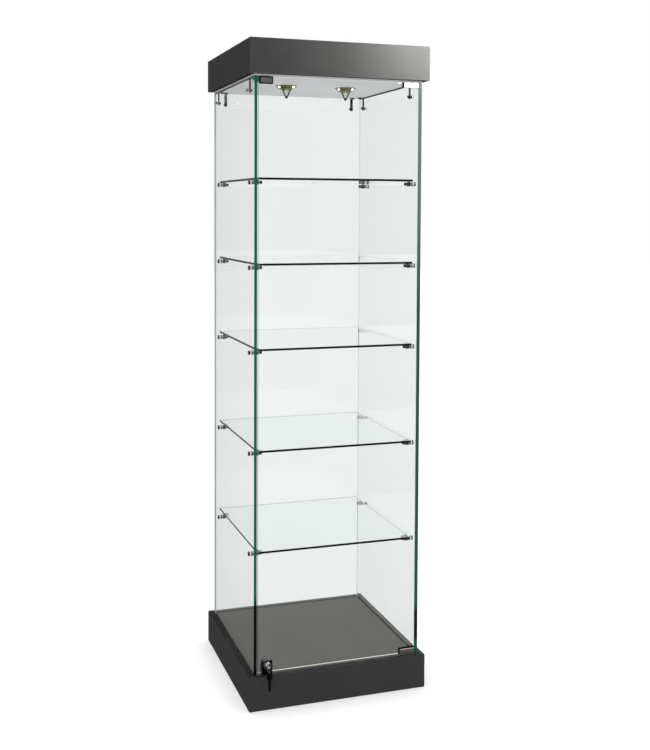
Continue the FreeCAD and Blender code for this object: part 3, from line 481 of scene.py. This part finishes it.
def cadSpan(node):
    low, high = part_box(node)
    return [c / mm for c in low], [c / mm for c in high]


def cadMiddle(node):
    low, high = cadSpan(node)
    return [(a + b) / 2 for a, b in zip(low, high)]


# A rectangle's outline with a quarter circle at each corner.
def roundedOutline(low, high, radius, steps):
    middle = (np.array(low) + high) / 2
    reach = (np.array(high) - low) / 2 - radius
    signs = np.array(((1, 1), (-1, 1), (-1, -1), (1, -1)))
    angles = np.radians(np.arange(4)[:, None] * 90 + np.linspace(0, 90, steps + 1))
    arcs = np.stack((np.cos(angles), np.sin(angles)), -1) * radius
    return ((middle + signs * reach)[:, None] + arcs).reshape(-1, 2)


# Plinth and canopy boards, mitred at the corners. The paints are a rail's and a fascia's

boards = {
    "board": 16,
    "half": 260,
    "ease": 0.7,
    "paints": {"front": ("plinth", "canopy"), "left": ("plinthSide", "canopySide")},
    "bored": "base_front_rail",  # the lock's bolt goes down into it
    "boreRadius": 3.7,
}
turns = {"front": 0, "right": 90, "back": 180, "left": 270}


def mitredBoard(name, node, degrees, material):
    low, high = cadSpan(node)
    half, board = boards["half"], boards["board"]
    plan = [(-half, -half), (half, -half), (half - board, board - half), (board - half, board - half)]
    straight = Shape().prism(plan, low[2], high[2], "z", boards["ease"])
    straight.slots[1] = np.array([1])  # the lower end
    if node == boards["bored"]:
        x, y, _ = cadMiddle("bolt_strike")
        straight.bore((x, y, high[2]), boards["boreRadius"], high[2] - cadSpan("bolt_strike")[0][2])
    looks = [material, "boardFoot"]
    turned = Shape().copy(straight, (0, 0, 0), degrees)
    turned.piece(name, "case", [node], "laminate_dark", looks, smooth=20)


for side, degrees in turns.items():
    rail, fascia = boards["paints"].get(side, ("plinth", "canopyRear"))
    mitredBoard(f"plinth_{side}", f"base_{side}_rail", degrees, rail)
    mitredBoard(f"canopy_{side}", f"canopy_{side}_fascia", degrees, fascia)
print("stage: boards made")

# Glass: each pane is a slab with polished arrises. Its edges, listed from the bottom or the front, take slots

glass = {
    "ease": 0.2,
    "shelfEase": 0.25,
    "notchLength": 26,
    "notchHeight": 9,
    "left": ("leftGlass", "paleEdge", "leftEdge"),
    "right": ("rightGlass", "paleEdge", "rightEdge", "ceilingEdge", "faintEdge"),
    "back": ("glass", "paleEdge", "faintEdge"),
    "door": ("glass", "doorEdge", "doorSide"),
    "shelf": ("shelfGlass", "paleEdge", "shelfEdge", "shelfSide"),
}


def pane(name, node, axis, body, materials, edges, outline=None, ease=glass["ease"]):
    corners, low, high = crossSection(*cadSpan(node), axis)
    shape = Shape().prism(outline or corners, low, high, axis, ease, 0, edges)
    shape.piece(name, body, [node], "clear_glass", materials, smooth=20)


pane("left_glass", "left_pane", "x", "case", glass["left"], (1, 1, 1, 2))
pane("right_glass", "right_pane", "x", "case", glass["right"], (1, 4, 3, 2))
pane("back_glass", "back_pane", "y", "case", glass["back"], (1, 2, 1, 1))
doorLow, doorHigh = cadSpan("door_pane")
notchX = doorHigh[0] - glass["notchLength"]
lowNotch, highNotch = doorLow[2] + glass["notchHeight"], doorHigh[2] - glass["notchHeight"]
doorOutline = [
    (doorLow[0], doorLow[2]), (notchX, doorLow[2]), (notchX, lowNotch), (doorHigh[0], lowNotch),
    (doorHigh[0], highNotch), (notchX, highNotch), (notchX, doorHigh[2]), (doorLow[0], doorHigh[2]),
]
pane("door_glass", "door_pane", "y", "door", glass["door"], (1, 1, 1, 1, 1, 1, 1, 2), doorOutline)
shelves = [f"shelf_{number}" for number in range(1, 6)]
for node in shelves:
    pane(f"glass_{node}", node, "z", "case", glass["shelf"], (2, 1, 1, 3), ease=glass["shelfEase"])
print("stage: glass made")

# Shelf studs: bright collars on the glass and cores, and the dark drums and knobs that carry the shelves. The cores'
# bright chrome is painted lighter, and the dark chrome of drums, knobs and caps is a painted reflection of the dark
# room.

studs = {
    "inner": 235.5,
    "rows": (-197.5, 175.5),
    "drop": 6.6,
    "core": ((3, -11.5), (3, 8.2), (2.6, 8.3), (2.6, 18.7)),
    "collar": ((5.9, 0), (6.5, 0.6), (6.5, 4.9), (5.9, 5.5)),
    "drum": ((5.9, 8), (6.5, 8.6), (6.5, 15.4), (5.9, 16)),
    "knob": ((4.1, 18.5), (4.7, 19.1), (4.7, 23.9), (4.3, 24.6), (3.5, 25)),
    "cap": ((6.0, -8), (6.5, -8.5), (6.5, -11.2), (6.1, -12), (5.2, -12.5)),
}
stud = Shape()
for part, slot in (("core", 1), ("collar", 2), ("drum", 0), ("knob", 0)):
    stud.lathe(studs[part], (0, 0, 0), (1, 0, 0), slot=slot)
studCap = Shape().lathe(studs["cap"], (0, 0, 0), (1, 0, 0))
allStuds, allCaps = Shape(), Shape()
for node in shelves:
    level = cadSpan(node)[0][2] - studs["drop"]
    for row in studs["rows"]:
        for sign, degrees in ((-1, 0), (1, 180)):
            spot = (sign * studs["inner"], row, level)
            allStuds.copy(stud, spot, degrees)
            allCaps.copy(studCap, spot, degrees)
allStuds.piece("studs", "case", ["shelf_studs"], "chrome", ["darkChrome", "brightChrome", "chrome"])
allCaps.piece("stud_caps_outer", "case", ["stud_caps"], "chrome", ["darkChrome"])

# Pane brackets: angles under the ceiling, each with a knob inside the glass and a cap outside

brackets = {
    "ceiling": 1731,
    "outline": ((0, 0), (20, 0), (20, -3), (3, -3), (3, -41), (0, -41)),
    "half": 4.25,
    "ease": 0.5,
    "boltDrop": -34,
    "knob": ((2.6, 3), (4, 3), (4, 6.8), (3.5, 7.7), (2.6, 8)),
    "bolt": ((2.5, -8), (2.5, 3)),
    "cap": ((4.5, -8), (5, -8.5), (5, -11.8), (4.6, -12.6), (3.8, -13), (1.5, -13)),
    "spots": (
        (-235.5, -175.5, 0), (-235.5, 203.5, 0), (235.5, -175.5, 180), (235.5, 203.5, 180),
        (-205, 235.5, -90), (205, 235.5, -90),
    ),
}
half = brackets["half"]
angleIrons = [Shape().prism(brackets["outline"], -half, half, "y", brackets["ease"], slot, slot) for slot in (0, 1)]
boltSpot = (0, 0, brackets["boltDrop"])
knob = Shape().lathe(brackets["knob"], boltSpot, (1, 0, 0)).lathe(brackets["bolt"], boltSpot, (1, 0, 0))
bracketCap = Shape().lathe(brackets["cap"], boltSpot, (1, 0, 0))
# The left angle irons take greyChrome, a lit copy painted lighter than the right ones' darkChrome.
allAngles, allKnobs, allBracketCaps = Shape(), Shape(), Shape()
for x, y, degrees in brackets["spots"]:
    spot = (x, y, brackets["ceiling"])
    allAngles.copy(angleIrons[x < 0], spot, degrees)  # the left ones are greyer
    allKnobs.copy(knob, spot, degrees)
    allBracketCaps.copy(bracketCap, spot, degrees)
allAngles.piece("angles", "case", ["pane_brackets"], "chrome", ["darkChrome", "greyChrome"], smooth=20)
allKnobs.piece("angle_bolts", "case", ["bracket_bolts"], "chrome", ["darkChrome"])
allBracketCaps.piece("angle_caps", "case", ["bracket_caps"], "chrome", ["brightChrome"])

# Glazing seal: a bead in the corner of each side pane and the ceiling, between the brackets

seal = {
    "section": ((0, 0), (1.8, 0), (1.7, -2.4), (1.2, -3.5), (0.4, -4), (0, -4)),
    "runs": ((-228, -180), (-171, 199), (208, 235)),
    "ease": 0.2,
}
seals = Shape()
for sign, degrees in ((-1, 0), (1, 180)):
    # The left seal takes greySeal, a lit copy painted lighter than the right one.
    slot = int(sign < 0)  # the left one is greyer
    for low, high in seal["runs"]:
        run = Shape().prism(seal["section"], *sorted((-sign * low, -sign * high)), "y", seal["ease"], slot, slot)
        seals.copy(run, (sign * studs["inner"], 0, brackets["ceiling"]), degrees)
seals.piece("glazing_seals", "case", [], "black_rubber", ["seal", "greySeal"], smooth=50)
print("stage: studs, brackets and seals made")

# Hinge clamps: a bright plate on a black gasket that shows as a dark line beside it, and above the lower one

hinges = {
    "gasket": 0.9,
    "lips": {"top": (5.5, 0), "bottom": (4.2, 4.8)},  # to the left and above
    # The lower plate's satin nickel is a beige copy of the top one's chrome: a painted reflection of the deck.
    "metals": {"top": "chrome", "bottom": "nickel"},
    "ease": 0.9,
    "sealEase": 0.1,
    "plateEase": 0.8,
    "coreRight": 232.5,
    "coreLength": 25.7,
    "coreHeight": 9.7,
    "plateHeight": 14,
}
for end in ("top", "bottom"):
    node = f"{end}_hinge_clamp"
    low, high = cadSpan(node)
    back = doorLow[1]
    side, rise = hinges["lips"][end]
    clamp = Shape().block(low, (high[0], back - hinges["gasket"], high[2]), hinges["ease"])
    gasketLow = (low[0] - side, back - hinges["gasket"], low[2])
    clamp.block(gasketLow, (high[0], back, high[2] + rise), hinges["sealEase"], slot=1)
    coreLow = low[2] if end == "bottom" else high[2] - hinges["coreHeight"]
    coreLeft = hinges["coreRight"] - hinges["coreLength"]
    coreTop = coreLow + hinges["coreHeight"]
    clamp.block((coreLeft, back, coreLow), (hinges["coreRight"], high[1], coreTop), hinges["sealEase"])
    clamp.piece(f"{end}_clamp", "door", [node], "chrome", [hinges["metals"][end], "gasket"], smooth=20)
low, high = cadSpan("hinge_back_plates")
backPlates = Shape()
backPlates.block(low, (high[0], high[1], low[2] + hinges["plateHeight"]), hinges["plateEase"])
backPlates.block((low[0], low[1], high[2] - hinges["plateHeight"]), high, hinges["plateEase"])
backPlates.piece("clamp_backs", "door", ["hinge_back_plates"], "chrome", ["chrome"], smooth=20)

# Strike plate: a black channel over the door's top edge, with a paler sunk panel in front

strike = {
    "plate": 1.0,
    "plateEase": 0.2,
    "frame": 3.4,
    "proud": 0.35,
    "ease": 0.15,
    "panel": (0.12, 0.1),  # in front of and behind the plate's face
    "panelEase": 0.05,
}
low, high = cadSpan("strike_plate")
(left, face, bottom), (right, rear, top) = low, high
nearSkin, farSkin, roof = face + strike["plate"], rear - strike["plate"], top - strike["plate"]
channel = [
    (face, bottom), (face, top), (rear, top), (rear, bottom),
    (farSkin, bottom), (farSkin, roof), (nearSkin, roof), (nearSkin, bottom),
]
strikePiece = Shape().prism(channel, left, right, "x", strike["plateEase"])
rim, front = strike["frame"], face - strike["proud"]
for barLeft, barRight, barBottom, barTop in (
    (left, left + rim, bottom, top),
    (right - rim, right, bottom, top),
    (left, right, bottom, bottom + rim),
    (left, right, top - rim, top),
):
    strikePiece.block((barLeft, front, barBottom), (barRight, face, barTop), strike["ease"])
ahead, behind = strike["panel"]
panelLow, panelHigh = (left + rim, face - ahead, bottom + rim), (right - rim, face + behind, top - rim)
strikePiece.block(panelLow, panelHigh, strike["panelEase"], slot=1)
strikePiece.piece("strike", "door", ["strike_plate"], "black_metal", ["blackMetal", "greyInset"], smooth=20)

# Touch latch under the ceiling: a rounded body, its plunger, and a spring

latch = {
    "corner": 1.5,
    "ease": 0.6,
    "plunger": ((1.2, 0), (2.8, 0.4), (3.7, 1.2), (4, 2.2), (4, 19.6), (3.6, 20)),
    "springWire": 0.45,
    "springTurns": 7,
    "springKeep": 0.75,
}
low, high = cadSpan("latch_body")
latchOutline = roundedOutline((low[0], low[2]), (high[0], high[2]), latch["corner"], steps=3)
Shape().prism(latchOutline, low[1], high[1], "y", latch["ease"]).piece(
    "latch", "case", ["latch_body"], "black_plastic", ["blackPlastic"], smooth=30
)
x, _, z = cadMiddle("latch_plunger")
tip = (x, cadSpan("latch_plunger")[0][1], z)
Shape().lathe(latch["plunger"], tip, (0, 1, 0)).piece(
    "plunger", "latch_plunger", ["latch_plunger"], "nylon", ["nylon"]
)
low, high = cadSpan("latch_spring")
wire = latch["springWire"]
radius = (high[0] - low[0]) / 2 - wire
spring = Shape().coil((x, low[1], z), radius, wire, high[1] - low[1], latch["springTurns"]).piece(
    "spring", "case", ["latch_spring"], "steel", ["steel"], smooth=60
)
seat = (x * mm, high[1] * mm, z * mm)
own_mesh(spring)
print("stage: hinges and catch made")

# Lock: rounded block, boss and nose, the plug with its keyway, and the keys

lock = {
    "depth": 13,
    "noseLength": 1,
    "corner": 4,
    "ease": 1.2,
    "boss": ((10, 0), (10, 4.6), (9.6, 5.5), (8.8, 6), (7.6, 6), (7.55, 1)),
    "nose": ((3.4, 0), (4.6, 0), (5, 0.4), (5, 1.6)),
    "plug": ((7.0, 0), (7.5, 0.5), (7.5, 11.2)),
    "pin": ((1.3, 11.2), (1.3, 18.2)),
    "pinReach": 4,
    "keyway": (1.3, (-0.03, 3), 4.4),
    "keywayEase": 0.02,
    "backCorner": 3,
    "backEase": 0.6,
}
lockX, _, lockZ = cadMiddle("lock_plug")
low, high = cadSpan("lock_housing")
face = high[1] - lock["depth"]
lockOutline = roundedOutline((low[0], low[2] + lock["noseLength"]), (high[0], high[2]), lock["corner"], steps=6)
housing = Shape().prism(lockOutline, face, high[1], "y", lock["ease"])
housing.lathe(lock["boss"], (lockX, face, lockZ), (0, -1, 0), sides=48, slot=1)
housing.lathe(lock["nose"], (lockX, cadMiddle("lock_bolt")[1], low[2]), (0, 0, 1))
# The case's lockChrome and the back plate's darkChrome are painted near black: a painted reflection of the dark room.
housing.piece("lock_case", "door", ["lock_housing"], "chrome", ["lockChrome", "chrome"])
plugFace = cadSpan("lock_plug")[0][1]


# Two corners of a block on the plug's axis, from half its width, its run back from the plug's face and half its
# height.
def onPlug(half, run, tall):
    return (lockX - half, plugFace + run[0], lockZ - tall), (lockX + half, plugFace + run[1], lockZ + tall)


plug = Shape().lathe(lock["plug"], (lockX, plugFace, lockZ), (0, 1, 0), sides=48)
plug.block(*onPlug(*lock["keyway"]), lock["keywayEase"], slot=1)
plug.lathe(lock["pin"], (lockX + lock["pinReach"], plugFace, lockZ + lock["pinReach"]), (0, 1, 0), sides=16)
plug.piece("plug", "lock_plug", ["lock_plug"], "chrome", ["chrome", "gasket"])
low, high = cadSpan("lock_back_plate")
plateOutline = roundedOutline((low[0], low[2]), (high[0], high[2]), lock["backCorner"], steps=5)
Shape().prism(plateOutline, low[1], high[1], "y", lock["backEase"]).piece(
    "lock_back", "door", ["lock_back_plate"], "chrome", ["darkChrome"], smooth=30
)

keys = {
    "bow": ((3.2, -0.9), (4.0, -1.2), (8.6, -1.2), (9.5, -0.6), (9.5, 0.6), (8.6, 1.2), (4.0, 1.2), (3.2, 0.9)),
    "bowSetback": 29.5,
    "neck": ((2.2, 0), (2.5, 0.3), (2.5, 20.2)),
    "blade": (1.1, (0, 9), 4.2),
    "web": (1.1, (-24, -19.8), 2.5),
    "ringRadius": 5.8,
    "wire": 0.8,
    "wireSides": 12,
    "ease": 0.3,
    "turn": -35,
}
key = Shape().block(*onPlug(*keys["blade"]), keys["ease"], slot=1)
key.lathe(keys["neck"], (lockX, plugFace, lockZ), (0, -1, 0), sides=24, slot=1)
key.lathe(keys["bow"], (lockX, plugFace - keys["bowSetback"], lockZ), (1, 0, 0), sides=40, closed=True)
key.block(*onPlug(*keys["web"]), keys["ease"])
key.piece("key", "door_key", ["door_key"], "black_plastic", ["blackPlastic", "steel"])

angles = np.arange(keys["wireSides"]) * 2 * math.pi / keys["wireSides"]
ringWire = np.stack((keys["ringRadius"] + keys["wire"] * np.cos(angles), keys["wire"] * np.sin(angles)), 1)
ringSpot = cadMiddle("key_ring")
Shape().lathe(ringWire, ringSpot, (0, 1, 0), sides=48, closed=True).piece(
    "ring", "key_set", ["key_ring"], "steel", ["steel"]
)

# The spare key's head has a window that the ring passes through, and its blade has a cut edge.
spare = {
    "columns": (-7.5, -5, 5, 7.5),
    "rows": (-22.9, -3.4, 1.6, 4.1),
    "half": 1.25,
    "ease": 0.25,
    "bladeHalf": 1.1,
    "bladeEase": 0.15,
    "back": ((4.2, -22.9), (4.2, -53.0), (3.2, -53.9), (-2.6, -53.9)),
    "shoulder": ((-4.2, -24.5), (-4.2, -22.9)),
    "cutEdge": -4.2,
    "cuts": (1.5, 0.4, 1.9, 0.9, 1.6, 0.5, 1.2, 0.2),
    "firstCut": -52.6,
    "cutPitch": 3.4,
    "cutFlat": 1.4,
}
spareKey = Shape()
xs, zs = spare["columns"], spare["rows"]
for low, high in (
    ((xs[0], zs[0]), (xs[3], zs[1])),
    ((xs[0], zs[1]), (xs[1], zs[2])),
    ((xs[2], zs[1]), (xs[3], zs[2])),
    ((xs[0], zs[2]), (xs[3], zs[3])),
):
    spareKey.block((low[0], -spare["half"], low[1]), (high[0], spare["half"], high[1]), spare["ease"])
starts = spare["firstCut"] + spare["cutPitch"] * np.arange(len(spare["cuts"]))
cutRows = np.stack((starts, starts + spare["cutFlat"]), 1).ravel()
cutEdge = np.stack((np.repeat(np.array(spare["cuts"]) + spare["cutEdge"], 2), cutRows), 1)
blade = [*spare["back"], *cutEdge, *spare["shoulder"]]
spareKey.prism(blade, -spare["bladeHalf"], spare["bladeHalf"], "y", spare["bladeEase"], 1, 1)
hang = (lockX, ringSpot[1], ringSpot[2] - keys["ringRadius"])
Shape().copy(spareKey, hang, keys["turn"]).piece(
    "spare", "key_set", ["spare_key"], "black_plastic", ["blackPlastic", "blackMetal"], smooth=25
)
print("stage: lock and keys made")

# Downlights: brass flange with lit lenses in it, and a glass drop held by a bent wire with a dark tip

lamps = {
    "spots": ((-91, -28, 1731), (91, -28, 1731)),
    "flange": (
        (13, 0), (29.4, 0), (30, -0.4), (30, -2.2), (29, -3), (27.2, -3.4), (25.4, -5.4), (22.6, -8.6), (20.4, -10.4),
        (18.4, -11), (15.4, -11), (15.4, -2.9), (13, -2.9),
    ),
    "lens": ((0.6, -3.2), (1.9, -2.7), (3.0, -1.4), (3.3, 0), (3.0, 1.4), (1.9, 2.7), (0.6, 3.2)),
    "lensReach": 26.2,
    "lensDrop": -4.6,
    "lensAngles": (-158.6, -58.6, 21.4, 121.4),
    "wireAngles": (-18.6, 161.4),
    "drop": ((13.5, -3), (15, -3), (15, -4.2), (13.2, -7.4), (1.5, -35), (0.4, -35), (0.4, -32)),
    "wireTop": (14.9, -3.0),
    "wireTip": (1.4, -34.0),
    "wireRadius": 1.8,
    "tip": ((0.4, -37.0), (2.0, -36.4), (3.2, -34.4), (3.6, -31.8), (3.0, -29.6), (1.0, -28.6)),
    "bulb": ((1.0, 4.6), (3.6, 5.4), (5, 7.4), (5, 26.4)),
}


# A place at an angle about a lamp's axis, and so far out and up.
def roundLamp(spot, degrees, reach, run):
    angle = math.radians(degrees)
    return Vector(spot) + Vector((reach * math.cos(angle), reach * math.sin(angle), run))


flanges, drops, bulbs = Shape(), Shape(), Shape()
upward = (0, 0, 1)
for spot in lamps["spots"]:
    flanges.lathe(lamps["flange"], spot, upward, sides=64, closed=True)
    drops.lathe(lamps["drop"], spot, upward, sides=24, closed=True)
    drops.lathe(lamps["tip"], spot, upward, sides=24, slot=1)
    bulbs.lathe(lamps["bulb"], spot, upward)
    for degrees in lamps["lensAngles"]:
        place = roundLamp(spot, degrees, lamps["lensReach"], lamps["lensDrop"])
        flanges.lathe(lamps["lens"], place, upward, sides=20, slot=1)
    for degrees in lamps["wireAngles"]:
        top, tip = [roundLamp(spot, degrees, *lamps[end]) for end in ("wireTop", "wireTip")]
        leg = ((lamps["wireRadius"], 0), (lamps["wireRadius"], (tip - top).length))
        drops.lathe(leg, top, (tip - top).normalized(), sides=12, slot=1)
flanges.piece("lamp_flanges", "case", ["lamp_bezels"], "brass", ["brass", "lampGlow"])
drops.piece("lamp_drops", "case", ["lamp_cones"], "lamp_glass", ["lampGlass", "lampWire"], smooth=12)
bulbs.piece("lamp_capsules", "case", ["lamp_bulbs"], "lamp_glass", ["lampGlow"])

# Cord grommet: a soft ring with a groove for the board

grommet = (
    (5, 0.4), (5.4, 0), (10.2, 0), (11, 0.7), (11, 1.6), (10.5, 2), (8, 2), (8, 18), (10.5, 18), (11, 18.4),
    (11, 19.3), (10.2, 20), (5.4, 20), (5, 19.6),
)
x, _, z = cadMiddle("cord_grommet")
outer = (x, cadSpan("cord_grommet")[0][1], z)
Shape().lathe(grommet, outer, (0, 1, 0), sides=48, closed=True).piece(
    "grommet", "case", ["cord_grommet"], "black_rubber", ["rubber"]
)
print("stage: lamps made")

# CAD nodes that stay, under the finished material that they take

stay = {
    "deck": ["base_deck"],
    "canopyRear": ["canopy_top_panel"],
    "ceiling": ["ceiling_panel"],
    "timber": ["base_cleats", "canopy_cleats"],
    "steel": [
        "base_screws", "canopy_screws", "bracket_screws", "hinge_screws", "hinge_pivots", "latch_screws",
        "lock_screws", "lock_bolt",
    ],
    "nylon": ["hinge_bushes", "lamp_sockets"],
    "clearPlastic": ["stud_bushes"],
    "brass": ["bolt_strike"],
    "aluminium": ["lamp_cups"],
    "blackPlastic": ["lamp_transformer"],
    "rubber": ["lamp_leads"],
}
for material, nodes in stay.items():
    for node in nodes:
        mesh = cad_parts[node].data
        mesh.materials.clear()
        mesh.materials.append(paints[material])
print("stage: carried nodes dressed")

# Floor, studio and camera. The paper is part lit and part glowing: to the eye it burns out to white except close
# to the plinth, through glass and as a light it stays an even white, and what shines doesn't see it.

paper = {
    "size": 40,
    "level": -0.0005,
    "tone": 0.355,
    "fibre": 0.005,
    "glow": 0.645,
    "eyeTone": 0.84,
    "eyeGlow": 0.285,
}


def grey(level):
    return (level, level, level)


bpy.ops.mesh.primitive_plane_add(size=paper["size"], location=(0, 0, paper["level"]))
floor = bpy.context.object
floor.name = "floor"
floorPaint = Paint("floorPaper", roughness=0.9, specularIorLevel=0.0, emissionStrength=1.0)
tones = [grey(paper["tone"] + stray) for stray in (-paper["fibre"], paper["fibre"])]
fibre = floorPaint.mixed(floorPaint.noise(scale=2), *tones)
floorPaint.dress(baseColor=fibre, emissionColor=grey(paper["glow"]))
eyeLit = floorPaint.node("ShaderNodeBsdfDiffuse", {"Color": grey(paper["eyeTone"])}).wire(0)
eyeGlow = floorPaint.node("ShaderNodeEmission", {"Color": grey(paper["eyeGlow"])}).wire(0)
rays = floorPaint.node("ShaderNodeLightPath")
eyeShader = floorPaint.node("ShaderNodeAddShader", {0: eyeLit, 1: eyeGlow}).wire(0)
floorPaint.swap(rays.wire("Is Camera Ray"), eyeShader)
floorPaint.swap(rays.wire("Glossy Depth") % 2, floorPaint.node("ShaderNodeBsdfTransparent").wire(0))
floor.data.materials.append(floorPaint.material)

# The studio is white to the eye and through glass. What shines sees it white behind on the right and overhead,
# and dim on the left and in front. Each part has a brightness and the headings between which it takes over.
studio = {
    "low": 0.06,
    "middle": (0.17, (-0.37, -0.31)),
    "high": (0.13, (0.05, 0.10)),
    "right": (1.0, (-0.15, 0.15)),
    "front": (0.08, (-0.2, 0.5)),
    "overhead": (0.9, (0.45, 0.85)),
    "light": 1.1,
    "seen": 1.0,
}
world = bpy.data.worlds.new("studio")
bpy.context.scene.world = world
world.use_nodes = True
sky = Graph(world.node_tree)
path = sky.node("ShaderNodeLightPath")
heading = sky.node("ShaderNodeSeparateXYZ", {0: sky.node("ShaderNodeTexCoord").wire("Generated")})
right, back, up = [heading.wire(letter) for letter in "XYZ"]
room = grey(studio["low"])
for part, bearing in (("middle", up), ("high", up), ("right", right), ("front", back), ("overhead", up)):
    brightness, edge = studio[part]
    sides = (grey(brightness), room) if part == "front" else (room, grey(brightness))
    room = sky.mixed(bearing.ramp(*edge), *sides)
mirrored = path.wire("Glossy Depth") % 2
seen = path.wire("Is Camera Ray").larger(path.wire("Is Transmission Ray")) * (1 - mirrored)
shone = sky.mixed(mirrored, grey(studio["light"]), room)
backdrop = world.node_tree.nodes["Background"]
sky.feed(backdrop.inputs["Color"], sky.mixed(seen, shone, grey(studio["seen"])))

# Softboxes, for what is glossy alone: they aren't seen, and matt surfaces take no light from them
lights = {
    "key": {"at": (2.00, -3.3, 2.62), "towards": (0.1, -0.26, 1.78), "size": (1.1, 0.95), "power": 67},
    "top": {"at": (0, -0.6, 4.2), "towards": (0, 0, 0), "size": (3.0, 3.0), "power": 60},
    "fill": {"at": (-3.4, -1.6, 2.4), "towards": (0, 0, 0.9), "size": (2.0, 2.4), "power": 30},
}
warmWhite = (1.0, 0.985, 0.955)


def softbox(name, at, towards, size, power):
    light = bpy.data.lights.new(name, "AREA")
    light.shape = "RECTANGLE"
    light.size, light.size_y = size
    light.energy = power
    light.color = warmWhite
    holder = bpy.data.objects.new(name, light)
    holder.location = at
    holder.rotation_euler = (Vector(towards) - Vector(at)).to_track_quat("-Z", "Y").to_euler()
    holder.visible_camera = False
    holder.visible_transmission = False
    holder.visible_diffuse = False
    bpy.context.scene.collection.objects.link(holder)


for name, settings in lights.items():
    softbox(name, **settings)

# The camera: focus and shift in picture heights, its place in metres
shot = {
    "focus": 1070.6 / 750,
    "shift": -115 / 750,
    "sensor": (29.3, 36),
    "yaw": math.radians(18.5848),
    "pitch": math.radians(2.7272),
    "roll": math.radians(0.2590),
    "at": (-0.9809, -3.0346, 1.3743),
}
lens = bpy.data.cameras.new("camera")
lens.sensor_fit = "VERTICAL"
lens.sensor_width, lens.sensor_height = shot["sensor"]
lens.lens = shot["focus"] * shot["sensor"][1]
lens.shift_y = shot["shift"]
camera = bpy.data.objects.new("camera", lens)
bpy.context.scene.collection.objects.link(camera)
ahead = Vector((
    math.sin(shot["yaw"]) * math.cos(shot["pitch"]),
    math.cos(shot["yaw"]) * math.cos(shot["pitch"]),
    -math.sin(shot["pitch"]),
))
level = Vector((math.cos(shot["yaw"]), -math.sin(shot["yaw"]), 0))
rise = level.cross(ahead)
across = level * math.cos(shot["roll"]) + rise * math.sin(shot["roll"])
rise = rise * math.cos(shot["roll"]) - level * math.sin(shot["roll"])
camera.matrix_world = Matrix.Translation(shot["at"]) @ Matrix((across, rise, -ahead)).transposed().to_4x4()

scene = bpy.context.scene
scene.camera = camera
scene.view_settings.view_transform = "Standard"
rendering = {
    "max_bounces": 32,
    "transmission_bounces": 32,
    "transparent_max_bounces": 32,
    "glossy_bounces": 8,
    "caustics_refractive": False,
    "caustics_reflective": False,
}
for name, value in rendering.items():
    setattr(scene.cycles, name, value)
print("stage: studio made")
